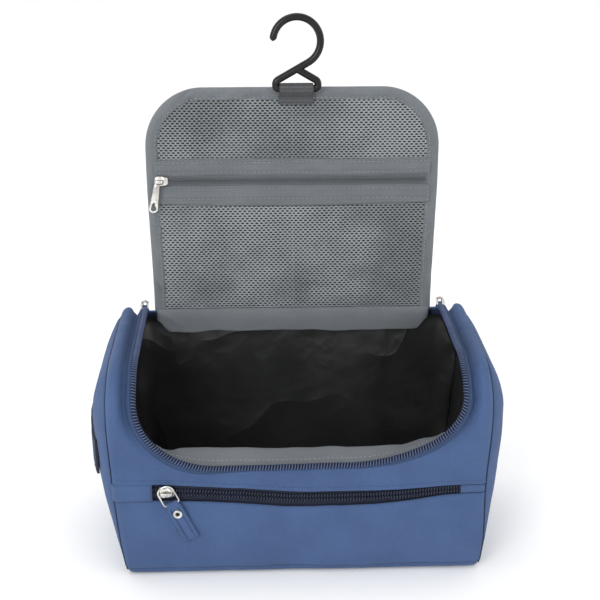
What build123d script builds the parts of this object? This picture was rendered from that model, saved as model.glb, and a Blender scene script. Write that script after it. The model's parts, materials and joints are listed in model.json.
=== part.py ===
from build123d import *
import os
from math import asin, atan2, cos, degrees, hypot, radians, sin, tan

# A hanging toiletry bag: a soft box with a zipped lid that folds down over its rounded front,
# a front pocket, a mesh pocket inside the lid, a webbing side handle and a swivelling hanging hook.
# Millimetres. +X to the right, +Y to the back, +Z up, origin at the middle of the base's underside.

# ---------------------------------------------------------------- driving dimensions

# Body
body_depth = 128.0
body_height = 146.0
top_half_width = 130.0
base_half_width = 119.0
front_top_radius = 40.0
back_top_radius = 12.0
bottom_radius = 8.0

# Body wall, from the outside in
skin = 1.2
wall_foam = 2.6
lining = 0.8
base_seam_height = 5.0
back_seam_setback = 14.0

# Mouth and main zip
mouth_half_width = 106.0
mouth_back_gap = 1.5
mouth_front_height = 84.0
mouth_corner_radius = 42.0
coil_width = 2.6
tape_show = 4.0
coil_proud = 0.6
tape_thickness = 0.8
facing_thickness = 0.8
front_facing_depth = 20.0
front_facing_half = 78.0
back_facing_depth = 12.0

# Lid
hinge_setback = 4.0
hinge_drop = 4.0
lid_lean = 5.0
lid_side_gap = 3.0
lid_length = 161.0
lid_corner_radius = 40.0
lid_start = 6.0
fold_distance = 113.5
fold_gap = 1.2
lid_skin = 1.0
lid_foam = 2.8
lid_lining = 0.6
binding_width = 7.0
binding_cloth = 0.7
lid_coil_height = 1.4

# Pockets inside the lid, by distance from the hinge line
lower_mesh_start = 8.0
lower_mesh_end = 81.8
lid_zip_start = 93.5
lid_zip_end = 101.5
mesh_thickness = 0.5
band_thickness = 0.7

# Front pocket, its ends measured in from the base's ends
pocket_left_margin = 22.0
pocket_right_margin = 13.0
pocket_low = 59.5
pocket_high = 72.5
pocket_bag_low = 12.0
pocket_bag_thickness = 0.7
pocket_coil_width = 5.6
small_coil_width = 4.2

# Sliders and pulls
slider_length = 10.0
slider_width = 8.0
slider_thickness = 1.4
wire = 1.4
pull_width = 11.2
pull_length = 26.0
tab_thickness = 1.6
pocket_pull_turn = 25.0
lid_pull_turn = 7.0
slider_park = 9.5
mesh_slider_park = 11.0
main_slider_offset = 2.5
bridge_reach = 2.0

# Side handle
handle_width = 25.0
handle_span = 100.0
handle_height = 85.0
handle_gap = 7.5
handle_thickness = 1.8
handle_end = 9.0

# Hanging loop and hook
loop_width = 24.0
hook_wire = 5.0
hook_bore = 27.2
hook_rise = 34.6
loop_webbing = 1.2
loop_fold_inset = 4.5
bar_beyond_lid = 0.5
loop_gap = 1.0
loop_tail_length = 8.5

# Clearances
clearance = 0.4
bar_clearance = 0.3
slider_clearance = 0.4

# ---------------------------------------------------------------- derived places

wall = skin + wall_foam + lining
front = -body_depth / 2
back = body_depth / 2
far = 4 * body_depth
taper = (top_half_width - base_half_width) / body_height
back_seam_y = back - back_seam_setback
mouth_back = back - wall - mouth_back_gap
tape_edge = coil_width + tape_show
lid_skin_in = -(lid_skin + lid_foam + lid_lining) / 2
lid_foam_in = lid_skin_in + lid_skin
lid_lining_in = lid_foam_in + lid_foam
lid_inner = lid_lining_in + lid_lining
lid_outer = lid_skin_in
lid_half_width = mouth_half_width - lid_side_gap
hinge_y = back - hinge_setback
hinge_z = body_height - hinge_drop
pocket_left = pocket_left_margin - base_half_width
pocket_right = base_half_width - pocket_right_margin
pocket_slider_x = pocket_left + slider_park
lid_slider_x = mesh_slider_park - lid_half_width
main_slider_x = mouth_half_width + main_slider_offset
lid_tilt = Plane(
    origin=(0, hinge_y, hinge_z),
    x_dir=(1, 0, 0),
    z_dir=(0, -cos(radians(lid_lean)), sin(radians(lid_lean))),
)
os.makedirs("parts", exist_ok=True)


def write(name, shape):
    """One sub-part, one file."""
    export_step(shape, f"parts/{name}.step")


def block(x, y, z):
    """A box between the given pairs of limits."""
    return Pos(sum(x) / 2, sum(y) / 2, sum(z) / 2) * Box(x[1] - x[0], y[1] - y[0], z[1] - z[0])


# ---------------------------------------------------------------- the bag's body


def end_profile(inset):
    """The bag's outline seen from its end, as a bar along X, drawn inwards by inset."""
    low = inset
    high = body_height - inset
    corners = [(front + inset, low), (back - inset, low), (back - inset, high), (front + inset, high)]
    rounds = [bottom_radius, bottom_radius, back_top_radius, front_top_radius]
    outline = FilletPolyline(*corners, radius=[r - inset for r in rounds], close=True)
    return extrude(Plane.YZ * make_face(outline), amount=far, both=True)


def front_outline(inset):
    """The bag's tapered outline seen from the front, as a bar along Y, its sides drawn inwards."""
    low = -body_height
    high = 2 * body_height
    low_half = base_half_width + taper * low - inset
    high_half = base_half_width + taper * high - inset
    outline = Polyline((-low_half, low), (low_half, low), (high_half, high), (-high_half, high), close=True)
    return extrude(Plane.XZ * make_face(outline), amount=far, both=True)


def layer(outside, inside):
    """The wrap of one wall layer, round the front, top, back and base, between the end layers."""
    return (end_profile(outside) - end_profile(inside)) & front_outline(inside)


def end_layer(outside, inside, side):
    """One wall layer of an end, the full outline of the bag; side is -1 for left and 1 for right."""
    half = block(sorted((0, side * far)), (-far, far), (-far, far))
    return (end_profile(outside) & (front_outline(outside) - front_outline(inside))) & half


def mouth(grow):
    """The U-shaped mouth seen from the front, cut along Y to its back edge, widened by grow."""
    half = mouth_half_width + grow
    low = mouth_front_height - grow
    corner = mouth_corner_radius + grow
    outline = FilletPolyline(
        (-half, 2 * body_height), (-half, low), (half, low), (half, 2 * body_height), radius=[corner, corner]
    )
    top = Line((half, 2 * body_height), (-half, 2 * body_height))
    bar = extrude(Plane.XZ * make_face(outline + top), amount=far, both=True)
    return bar & block((-far, far), (-far, mouth_back), (-far, far))


skin_wrap = layer(0, skin) - mouth(tape_edge)
foam_wrap = layer(skin, skin + wall_foam) - mouth(coil_width)
lining_wrap = layer(skin + wall_foam, wall) - mouth(coil_width)

front_half = block((-far, far), (-far, back_seam_y), (base_seam_height, far))
back_half = block((-far, far), (back_seam_y, far), (base_seam_height, far))
below_seam = block((-far, far), (-far, far), (-far, base_seam_height))
pocket_window = block((pocket_left, pocket_right), (front - 1, front + skin), (pocket_low, pocket_high))
below_pocket = block((-far, far), (-far, far), (-far, pocket_low))

front_skin = (skin_wrap & front_half) - pocket_window
write("base_panel", skin_wrap & below_seam)
write("front_panel_lower", front_skin & below_pocket)
write("front_panel_upper", front_skin - below_pocket)
write("back_panel", skin_wrap & back_half)
write("base_board", foam_wrap & below_seam)

pocket_bag = block(
    (pocket_left, pocket_right),
    (front + skin, front + skin + pocket_bag_thickness),
    (pocket_bag_low, pocket_high),
)
write("pocket_bag", pocket_bag)
write("front_foam", (foam_wrap & front_half) - pocket_bag)
write("back_foam", foam_wrap & back_half)
write("lining_front", lining_wrap & front_half)
write("lining_back", lining_wrap & back_half)
write("lining_floor", lining_wrap & below_seam)

for side, side_name in ((-1, "left"), (1, "right")):
    write(f"end_panel_{side_name}", end_layer(0, skin, side))
    write(f"end_foam_{side_name}", end_layer(skin, skin + wall_foam, side))
    write(f"end_lining_{side_name}", end_layer(skin + wall_foam, wall, side))

# The main zip's body half runs round the mouth's edge.
tape_ring = end_profile(0) - end_profile(tape_thickness)
coil_ring = end_profile(-coil_proud) - end_profile(skin)
write("main_zip_tape", tape_ring & (mouth(tape_edge) - mouth(coil_width)))
write("main_zip_coil", coil_ring & (mouth(coil_width) - mouth(0)))

# Facings inside the mouth: one along the front edge, one below the hinge.
facing_shell = end_profile(wall) - end_profile(wall + facing_thickness)
front_facing_zone = block(
    (-front_facing_half, front_facing_half),
    (-far, 0),
    (mouth_front_height - coil_width - front_facing_depth, mouth_front_height - coil_width),
)
write("front_facing", facing_shell & front_facing_zone)
back_facing_top = body_height - back_top_radius
back_facing_zone = block(
    (-lid_half_width, lid_half_width), (0, far), (back_facing_top - back_facing_depth, back_facing_top)
)
write("back_facing", facing_shell & back_facing_zone)

hinge_strip = block(
    (-lid_half_width, lid_half_width),
    (hinge_y - skin / 2, hinge_y + skin / 2),
    (body_height - back_top_radius, hinge_z + lid_start / 2),
)
write("hinge_strip", hinge_strip - end_profile(0) - layer(0, wall))

# ---------------------------------------------------------------- side handle


def side_handle():
    """A webbing strap along the left end, sewn at both ends and bowed out in the middle."""
    slope = taper * handle_height + base_half_width
    end_plane = Plane(
        origin=(-slope, 0, handle_height), x_dir=(0, 1, 0), z_dir=Vector(-taper, 0, 1).normalized()
    )
    half = handle_span / 2
    foot = half - handle_end
    crest = handle_gap + handle_thickness
    outer_bow = ThreePointArc((-foot, handle_thickness), (0, crest), (foot, handle_thickness))
    inner_bow = ThreePointArc((foot - handle_thickness, 0), (0, handle_gap), (-foot + handle_thickness, 0))
    right_foot = Polyline((foot, handle_thickness), (half, handle_thickness), (half, 0), inner_bow @ 0)
    left_foot = Polyline(inner_bow @ 1, (-half, 0), (-half, handle_thickness), (-foot, handle_thickness))
    face = make_face(outer_bow + right_foot + inner_bow + left_foot)
    return extrude(end_plane * face, amount=handle_width / 2, both=True)


write("side_handle", side_handle())

# ---------------------------------------------------------------- lid


def lid_plate(inset, inward, along):
    """A slice of the lid: outline drawn in by inset, between two heights over its middle surface
    (inward is towards the bag's inside) and between two distances from the hinge line."""
    half = lid_half_width - inset
    tip = lid_length - inset
    corners = [(-half, lid_start), (-half, tip), (half, tip), (half, lid_start)]
    outline = FilletPolyline(*corners, radius=[lid_corner_radius - inset] * 2)
    base = Line(corners[3], corners[0])
    sheet = Pos(0, 0, inward[0]) * extrude(make_face(outline + base), amount=inward[1] - inward[0])
    return sheet & block((-far, far), along, (-far, far))


def on_lid(shape):
    """Places a shape drawn in the lid's own plane: x across, y from the hinge line, z inwards."""
    return lid_tilt * shape


lid_parts = {"rear": (lid_start, fold_distance - fold_gap), "front": (fold_distance + fold_gap, lid_length)}
for name, along in lid_parts.items():
    core = lid_plate(binding_cloth, (lid_outer, lid_inner), along)
    edge_band = lid_plate(0, (lid_outer - binding_cloth, lid_inner + binding_cloth), along)
    edge_band -= lid_plate(binding_width, (-far, far), (-far, far))
    coil = lid_plate(0, (lid_outer - binding_cloth - lid_coil_height, lid_outer - binding_cloth), along)
    tape_top = lid_outer - binding_cloth
    tape = lid_plate(coil_width, (tape_top - tape_thickness, tape_top), along)
    write(f"lid_skin_{name}", on_lid(lid_plate(binding_cloth, (lid_outer, lid_foam_in), along)))
    write(f"lid_foam_{name}", on_lid(lid_plate(binding_cloth, (lid_foam_in, lid_lining_in), along)))
    write(f"lid_lining_{name}", on_lid(lid_plate(binding_cloth, (lid_lining_in, lid_inner), along)))
    write(f"lid_binding_{name}", on_lid(edge_band - core))
    write(f"lid_zip_coil_{name}", on_lid(coil - lid_plate(coil_width, (-far, far), (-far, far))))
    write(f"lid_zip_tape_{name}", on_lid(tape - lid_plate(tape_edge, (-far, far), (-far, far))))


def lid_inset_sheet(along, thickness):
    """A sheet on the lid's lining, inside the binding."""
    return on_lid(lid_plate(binding_width, (lid_inner, lid_inner + thickness), along))


zip_middle = (lid_zip_start + lid_zip_end) / 2
write("lower_mesh", lid_inset_sheet((lower_mesh_start, lower_mesh_end), mesh_thickness))
write("lower_zip_band", lid_inset_sheet((lower_mesh_end, lid_zip_start), band_thickness))
write("mesh_zip_tape", lid_inset_sheet((lid_zip_start, lid_zip_end), mesh_thickness))
write("upper_zip_band", lid_inset_sheet((lid_zip_end, fold_distance - fold_gap), band_thickness))
write("upper_mesh", lid_inset_sheet((fold_distance + fold_gap, lid_length), mesh_thickness))
mesh_coil_top = lid_inner + mesh_thickness + lid_coil_height
mesh_coil = block(
    (-lid_half_width + binding_width, lid_half_width - binding_width),
    (zip_middle - small_coil_width / 2, zip_middle + small_coil_width / 2),
    (lid_inner + mesh_thickness, mesh_coil_top),
)
write("mesh_zip_coil", on_lid(mesh_coil))

# ---------------------------------------------------------------- front pocket zip

pocket_middle = (pocket_low + pocket_high) / 2
tape_front = front + skin - tape_thickness
pocket_coil_front = front - coil_proud
pocket_tape = block((pocket_left, pocket_right), (tape_front, front + skin), (pocket_low, pocket_high))
pocket_coil = block(
    (pocket_left + coil_width, pocket_right - coil_width),
    (pocket_coil_front, tape_front),
    (pocket_middle - pocket_coil_width / 2, pocket_middle + pocket_coil_width / 2),
)
write("pocket_zip_tape", pocket_tape)
write("pocket_zip_coil", pocket_coil)

# ---------------------------------------------------------------- sliders and pulls
# A slider is drawn lying in the X-Y plane, its zip along X, its face at z = 0 and its top upwards.

post_radius = 1.3
post_head_radius = 2.4
post_head_thickness = 0.8
slider_corner = 2.4
ring_gap = 0.5
ring_lift = slider_thickness + ring_gap
ring_radius = 4.6
ring_drop = 9.0
eye_bore = 1.2
eye_radius = 2.3
rivet_radius = 3.0
rivet_bore = 1.4
rivet_height = 0.6
rivet_inset = 4.2


def slider_with_post():
    """A slider whose bridge is a headed post that a wire ring turns on."""
    plate = Box(slider_length, slider_width, slider_thickness)
    plate = fillet(plate.edges().filter_by(Axis.Z), slider_corner)
    head_low = ring_lift + wire + bar_clearance
    post = Pos(0, 0, head_low / 2) * Cylinder(post_radius, head_low)
    head_place = Pos(0, 0, head_low + post_head_thickness / 2)
    head = head_place * Cylinder(post_head_radius, post_head_thickness)
    return Pos(0, 0, slider_thickness / 2) * plate + post + head


def slider_ring():
    """A wire ring round the post, its flat lower bar held in the tab's eye; hangs towards -Y."""
    outer = ring_radius + wire
    flat = SlotOverall(ring_drop + 2 * outer, 2 * outer, rotation=90)
    hole = SlotOverall(ring_drop + 2 * ring_radius, 2 * ring_radius, rotation=90)
    ring = Pos(0, -ring_drop / 2, ring_lift) * extrude(flat - hole, amount=wire)
    below_bar = Pos(0, -ring_drop - far / 2, 0) * Box(far, far, far)
    bar = Pos(0, -ring_drop + wire / 2, ring_lift + wire / 2) * Box(2 * outer, wire, wire)
    return (ring - below_bar) + bar


def pull_tab():
    """A folded cloth tab that hangs from the ring's bar by an eye."""
    bar_y = -ring_drop + wire / 2
    middle = ring_lift + wire / 2
    eye_length = 2 * ring_radius - 2 * clearance
    eye = Pos(0, bar_y, middle) * Rot(0, 90, 0) * Cylinder(eye_radius, eye_length)
    neck_end = bar_y - eye_radius - wire
    depth = (middle - tab_thickness / 2, middle + tab_thickness / 2)
    neck = block((-eye_length / 2, eye_length / 2), (neck_end, bar_y), depth)
    leaf = block((-pull_width / 2, pull_width / 2), (neck_end - pull_length, neck_end), depth)
    bore = Pos(0, bar_y, middle) * Rot(0, 90, 0) * Cylinder(eye_bore, far)
    return (eye + neck + leaf) - bore


def tab_rivet():
    """The eyelet through the upper part of a tab."""
    face = ring_lift + wire / 2 + tab_thickness / 2
    centre_y = -ring_drop + wire / 2 - eye_radius - wire - rivet_inset
    eyelet = Cylinder(rivet_radius, rivet_height) - Cylinder(rivet_bore, rivet_height)
    return Pos(0, centre_y, face + rivet_height / 2) * eyelet


# Front pocket: slider on the coil, ring and tab hanging down and to the right.
pocket_face = Plane(
    origin=(pocket_slider_x, pocket_coil_front - slider_clearance, pocket_middle),
    x_dir=(1, 0, 0),
    z_dir=(0, -1, 0),
)
pocket_turn = Rot(0, 0, pocket_pull_turn)
write("pocket_slider", pocket_face * slider_with_post())
write("pocket_ring", pocket_face * pocket_turn * slider_ring())
write("pocket_tab", pocket_face * pocket_turn * pull_tab())
write("pocket_rivet", pocket_face * pocket_turn * tab_rivet())

# Main zip: both sliders parked at the hinge ends, their pulls hanging down behind the bag.
main_slider_overhang = 4.0
main_slider_back = mouth_back + main_slider_overhang
bridge_y = back + eye_radius + bridge_reach
bridge_z = body_height + coil_proud + slider_clearance + slider_thickness


def main_slider():
    """The parked slider, with a bridge that reaches over the back edge and carries a cross bar."""
    plate = block(
        (-slider_width / 2, slider_width / 2),
        (main_slider_back - slider_length, main_slider_back),
        (bridge_z - slider_thickness, bridge_z),
    )
    reach = (main_slider_back - wire, bridge_y + wire / 2)
    inner_half = slider_width / 2 - wire
    legs = [
        block(across, reach, (bridge_z - wire, bridge_z))
        for across in ((-slider_width / 2, -inner_half), (inner_half, slider_width / 2))
    ]
    bar = Pos(0, bridge_y, bridge_z - wire / 2) * Rot(0, 90, 0) * Cylinder(wire / 2, slider_width - wire)
    return plate + legs[0] + legs[1] + bar


def main_pull():
    """The cloth pull: an eye on the cross bar, a neck and a leaf that hangs behind the bag."""
    middle_z = bridge_z - wire / 2
    eye_length = slider_width - 2 * wire - 2 * clearance
    neck_low = middle_z - eye_radius - wire
    axle = Pos(0, bridge_y, middle_z) * Rot(0, 90, 0)
    depth = (bridge_y - tab_thickness / 2, bridge_y + tab_thickness / 2)
    neck = block((-eye_length / 2, eye_length / 2), depth, (neck_low, middle_z))
    leaf = block((-pull_width / 2, pull_width / 2), depth, (neck_low - pull_length, neck_low))
    eye = axle * Cylinder(eye_radius, eye_length)
    return eye + neck + leaf - axle * Cylinder(wire / 2 + bar_clearance, far)


for side, side_name in ((-1, "left"), (1, "right")):
    write(f"main_slider_{side_name}", Pos(side * main_slider_x, 0, 0) * main_slider())
    write(f"main_pull_{side_name}", Pos(side * main_slider_x, 0, 0) * main_pull())

# Mesh pocket: a small slider with a cross bar and a flat metal pull with a round hole.
mesh_slider_face = mesh_coil_top + slider_clearance
bar_rise = 1.9
bar_lift = slider_thickness + bar_rise
pull_thickness = 1.0
pull_shoulder = 4.5
pull_hole = 1.9
eye_wall = 0.7
metal_pull_length = 22.0
metal_pull_width = 6.2
small_slider = 7.6
mesh_bar_setback = 3.0
inner_bar = small_slider - 2 * wire


def mesh_slider():
    """Slider plate, two cheeks and the cross bar that the metal pull hangs on."""
    plate = block(
        (-slider_length / 2, slider_length / 2), (-small_slider / 2, small_slider / 2), (0, slider_thickness)
    )
    top = bar_lift + wire / 2
    cheeks = [
        block((x - wire / 2, x + wire / 2), (-wire, wire), (0, top))
        for x in (-small_slider / 2 + wire / 2, small_slider / 2 - wire / 2)
    ]
    bar = Pos(0, 0, bar_lift) * Rot(0, 90, 0) * Cylinder(wire / 2, small_slider - wire)
    return plate + Pos(-mesh_bar_setback, 0, 0) * (cheeks[0] + cheeks[1] + bar)


def mesh_pull():
    """A flat teardrop pull that leans a little to the left, with an eye and a round hole."""
    half_eye = inner_bar / 2 - 1.5 * clearance
    on_bar = Pos(0, 0, bar_lift) * Rot(0, 90, 0)
    eye = on_bar * Cylinder(wire / 2 + bar_clearance + eye_wall, 2 * half_eye)
    reach = metal_pull_length - metal_pull_width / 2
    tip = Pos(0, -reach) * Circle(metal_pull_width / 2)
    shoulder = Pos(0, -pull_shoulder) * Rectangle(2 * half_eye, 1)
    neck = Pos(0, -pull_shoulder / 2) * Rectangle(2 * half_eye, pull_shoulder)
    blade = make_hull((tip + shoulder).edges()) + neck - Pos(0, -reach) * Circle(pull_hole)
    flat = Rot(0, 0, -lid_pull_turn) * blade
    plate = Pos(0, 0, bar_lift - pull_thickness / 2) * extrude(flat, amount=pull_thickness)
    pull = eye + plate - on_bar * Cylinder(wire / 2 + bar_clearance, far)
    return Pos(-mesh_bar_setback, 0, 0) * pull


mesh_face = lid_tilt * Pos(lid_slider_x, zip_middle, mesh_slider_face)
write("mesh_slider", mesh_face * mesh_slider())
write("mesh_pull", mesh_face * mesh_pull())

# ---------------------------------------------------------------- hanging loop and hook
# Drawn in the lid's plane: x across, y away from the hinge line, z inwards.

loop_bore = hook_wire / 2 + bar_clearance
loop_radius = loop_bore + loop_webbing
hook_base_half = (loop_width + hook_wire) / 2 + clearance
foot_height = hook_wire
lid_face = lid_inner + binding_cloth
bar_distance = lid_length + bar_beyond_lid
bar_offset = lid_face + loop_gap + loop_radius
loop_fold_distance = lid_length - loop_fold_inset
loop_fold_offset = lid_face + 1.5 * loop_webbing + bar_clearance


def hang_loop():
    """A band of webbing folded round the hook's bar, with a short tongue down to its fold."""
    on_bar = Pos(0, bar_distance, bar_offset) * Rot(0, 90, 0)
    fold = Pos(0, loop_fold_distance, loop_fold_offset)
    tongue_low = fold * Rot(0, 90, 0) * Cylinder(loop_webbing / 2, loop_width)
    lean = degrees(atan2(bar_offset - loop_fold_offset, bar_distance - loop_fold_distance))
    reach = hypot(bar_offset - loop_fold_offset, bar_distance - loop_fold_distance)
    strip = block((-loop_width / 2, loop_width / 2), (0, reach), (-loop_webbing / 2, loop_webbing / 2))
    tongue = fold * Rot(lean, 0, 0) * strip
    ring = on_bar * Cylinder(loop_radius, loop_width)
    return ring + tongue + tongue_low - on_bar * Cylinder(loop_bore, far)


def loop_tail():
    """The loop's end, sewn flat over the binding."""
    top = loop_fold_distance - clearance
    across = (-loop_width / 2, loop_width / 2)
    return block(across, (top - loop_tail_length, top), (lid_face, lid_face + loop_webbing))


def rod(start, end):
    """A straight round rod between two points of the hook's plane, with ball ends."""
    run = Line(start, end)
    section = Plane(origin=run @ 0, z_dir=run % 0) * Circle(hook_wire / 2)
    ball = Sphere(hook_wire / 2)
    return extrude(section, amount=run.length) + Pos(*start) * ball + Pos(*end) * ball


def hook():
    """A round hook on crossed legs that stand on two short feet, closed below by the loop's bar."""
    radius = (hook_bore + hook_wire) / 2
    # The long leg leaves the left foot and runs on as a tangent to the bow's lower right.
    leg_rise = hook_rise - foot_height
    lean = atan2(leg_rise, hook_base_half) - asin(radius / hypot(hook_base_half, leg_rise))
    leg_end = (radius * sin(lean), hook_rise - radius * cos(lean))
    section = Plane(origin=(-radius, hook_rise, 0), z_dir=(0, 1, 0)) * Circle(hook_wire / 2)
    bow = revolve(section, Axis((0, hook_rise, 0), (0, 0, -1)), revolution_arc=270 - degrees(lean))
    crossing = foot_height + hook_base_half * tan(lean)
    left, right = -hook_base_half, hook_base_half
    bar = rod((left, 0), (right, 0))
    feet = rod((left, 0), (left, foot_height)) + rod((right, 0), (right, foot_height))
    legs = rod((left, foot_height), leg_end) + rod((right, foot_height), (0, crossing))
    return bow + legs + feet + bar + Pos(-radius, hook_rise, 0) * Sphere(hook_wire / 2)


write("hang_loop", on_lid(hang_loop()))
write("loop_tail", on_lid(loop_tail()))
write("hook", on_lid(Pos(0, bar_distance, bar_offset) * hook()))
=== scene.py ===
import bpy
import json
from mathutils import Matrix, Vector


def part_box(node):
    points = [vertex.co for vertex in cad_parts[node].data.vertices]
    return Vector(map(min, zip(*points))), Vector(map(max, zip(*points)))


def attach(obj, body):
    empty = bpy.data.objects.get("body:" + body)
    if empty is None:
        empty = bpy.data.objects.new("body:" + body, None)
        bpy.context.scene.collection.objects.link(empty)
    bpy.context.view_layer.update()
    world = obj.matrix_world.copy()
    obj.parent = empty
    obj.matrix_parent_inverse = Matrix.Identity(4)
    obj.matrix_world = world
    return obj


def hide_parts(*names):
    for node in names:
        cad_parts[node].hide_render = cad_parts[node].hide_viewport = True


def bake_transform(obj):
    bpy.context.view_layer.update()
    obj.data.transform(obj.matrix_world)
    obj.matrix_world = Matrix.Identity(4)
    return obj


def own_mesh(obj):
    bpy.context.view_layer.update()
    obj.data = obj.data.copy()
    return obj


bl_info = {
    "name": "Hanging toiletry bag",
    "version": (1, 0, 0),
    "blender": (4, 5, 0),
    "location": "3D View > Sidebar > Toiletry bag",
    "description": "Cloth, zips, net and hardware of a hanging toiletry bag, built round its packed frame",
    "category": "Object",
}

import json
from math import asin, atan2, cos, hypot, pi, radians, sin, tan

import bmesh
import bpy
import numpy as np
from mathutils import Matrix, Vector, noise

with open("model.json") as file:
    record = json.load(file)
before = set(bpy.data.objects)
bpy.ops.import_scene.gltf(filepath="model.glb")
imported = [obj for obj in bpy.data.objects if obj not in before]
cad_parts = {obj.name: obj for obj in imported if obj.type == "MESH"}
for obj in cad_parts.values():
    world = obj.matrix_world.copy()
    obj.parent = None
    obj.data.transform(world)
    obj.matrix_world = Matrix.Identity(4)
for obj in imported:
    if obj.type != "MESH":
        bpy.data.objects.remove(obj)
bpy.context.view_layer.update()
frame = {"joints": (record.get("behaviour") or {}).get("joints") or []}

MM = 0.001


def joint(name):
    """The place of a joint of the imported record, in millimetres."""
    found = next(j for j in frame["joints"] if j["name"] == name)
    return np.array(found["pos_m"]) / MM


def low(node):
    return np.array(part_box(node)[0]) / MM


def high(node):
    return np.array(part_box(node)[1]) / MM


# ---------------------------------------------------------------- the bag's measures, in millimetres

FRONT = low("front_panel_lower")[1]
BACK = high("back_panel")[1]
TOP = high("end_panel_left")[2]
FRONT_TOP_RADIUS = 40.0
BACK_TOP_RADIUS = 12.0
BOTTOM_RADIUS = 8.0
MOUTH_HALF = high("main_zip_coil")[0] - 2.6
MOUTH_LOW = 84.0
MOUTH_CORNER = 46.0
MOUTH_BACK = high("main_zip_coil")[1]
HINGE = joint("lid_hinge")
LEAN = radians(5.0)
LID_HALF = high("lid_binding_rear")[0]
LID_LENGTH = 161.0
LID_CORNER = 40.0
LID_START = 6.0
FOLD = 113.5
POCKET_LEFT = low("pocket_zip_tape")[0]
POCKET_RIGHT = high("pocket_zip_tape")[0]

LID_PLACE = Matrix.Translation(Vector(HINGE) * MM) @ Matrix(
    ((1, 0, 0, 0), (0, sin(LEAN), -cos(LEAN), 0), (0, cos(LEAN), sin(LEAN), 0), (0, 0, 0, 1))
)


def on_lid(across, along, inward):
    """A point of the lid's own plane in metres: across, away from the hinge line, towards the bag's inside."""
    return LID_PLACE @ (Vector((across, along, inward)) * MM)


# ---------------------------------------------------------------- node trees as expressions


class Value:
    """A node socket that Python's arithmetic works on."""

    def __init__(self, nodes, made, out=0):
        self.nodes, self.made, self.socket = nodes, made, made.outputs[out]

    def out(self, name):
        return Value(self.nodes, self.made, name)

    def math(self, operation, *values):
        inputs = dict(enumerate((self, *values)))
        return self.nodes.node("ShaderNodeMath", {"operation": operation}, inputs)

    def __add__(self, other):
        return self.math("ADD", other)

    def __sub__(self, other):
        return self.math("SUBTRACT", other)

    def __rsub__(self, other):
        return self.nodes.node("ShaderNodeMath", {"operation": "SUBTRACT"}, {0: other, 1: self})

    def __mul__(self, other):
        return self.math("MULTIPLY", other)

    def __truediv__(self, other):
        return self.math("DIVIDE", other)

    __radd__ = __add__
    __rmul__ = __mul__

    def __pow__(self, other):
        return self.math("POWER", other)

    def __abs__(self):
        return self.math("ABSOLUTE")

    def sine(self):
        return self.math("SINE")

    def above(self, other):
        return self.math("GREATER_THAN", other)

    def at_least(self, other):
        return self.math("MAXIMUM", other)

    def at_most(self, other):
        return self.math("MINIMUM", other)

    def between(self, first, last, low_value=0.0, high_value=1.0):
        ranges = {0: self, 1: first, 2: last, 3: low_value, 4: high_value}
        return self.nodes.node("ShaderNodeMapRange", {"interpolation_type": "SMOOTHSTEP"}, ranges)


class Nodes:
    """A node tree that is written as calls and expressions."""

    def __init__(self, tree):
        self.tree = tree

    def node(self, kind, settings=None, inputs=None, out=0):
        made = self.tree.nodes.new(kind)
        for name, value in (settings or {}).items():
            if name == "stops":
                while len(made.color_ramp.elements) < len(value):
                    made.color_ramp.elements.new(0.5)
                for element, (place, colour) in zip(made.color_ramp.elements, value):
                    element.position, element.color = place, (*colour, 1)
            else:
                setattr(made, name, value)
        for key, value in (inputs or {}).items():
            self.put(made.inputs[key], value)
        return Value(self, made, out) if len(made.outputs) else None

    def put(self, socket, value):
        if isinstance(value, Value):
            self.tree.links.new(value.socket, socket)
        else:
            socket.default_value = value

    def mix(self, share, first, second):
        """A colour between two colours."""
        inputs = {0: share}
        for place, value in ((6, first), (7, second)):
            inputs[place] = value if isinstance(value, Value) else (*value, 1)
        return self.node("ShaderNodeMix", {"data_type": "RGBA"}, inputs, 2)

    def noise(self, where, scale, detail=2.0, roughness=0.5):
        inputs = {"Vector": where, "Scale": scale, "Detail": detail, "Roughness": roughness}
        return self.node("ShaderNodeTexNoise", None, inputs)


# ---------------------------------------------------------------- materials


def surface(name, colour_of, roughness=0.8, height_of=None, height=0.0002, **constants):
    """A Principled material; colour_of and height_of take the tree and the object's place and give sockets."""
    material = bpy.data.materials.new(name)
    material.use_nodes = True
    nodes = Nodes(material.node_tree)
    shader = material.node_tree.nodes["Principled BSDF"]
    where = nodes.node("ShaderNodeTexCoord", None, None, "Object")
    nodes.put(shader.inputs["Base Color"], colour_of(nodes, where))
    if callable(roughness):
        nodes.put(shader.inputs["Roughness"], roughness(nodes, where))
    else:
        shader.inputs["Roughness"].default_value = roughness
    if height_of:
        bump = {"Height": height_of(nodes, where), "Distance": height, "Strength": 1.0}
        nodes.put(shader.inputs["Normal"], nodes.node("ShaderNodeBump", None, bump))
    for socket, value in constants.items():
        shader.inputs[socket.replace("_", " ")].default_value = value
    return material


def tinted(colour, amount=0.12, scale=28.0, seams=None):
    """A colour with soft clouds and a fine fleck, and painted shade in its seams: where the mesh is concave,
    as in seams and creases, it mixes towards the darker seams colour.
    """

    def colour_of(nodes, where):
        cloud = nodes.noise(where, scale, 3.0).between(0.3, 0.7)
        fleck = nodes.noise(where, 1400.0, 1.0).between(0.25, 0.75)
        dark = tuple(c * (1 - amount) for c in colour)
        light = tuple(min(1.0, c * (1 + amount)) for c in colour)
        base = nodes.mix(cloud * 0.6 + fleck * 0.4, dark, light)
        if seams is None:
            return base
        # Painted shade: concave places, seam grooves and creases, are darkened from the mesh's pointiness.
        geometry = nodes.node("ShaderNodeNewGeometry")
        return nodes.mix(geometry.out("Pointiness").between(0.42, 0.495), seams, base)

    return colour_of


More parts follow.
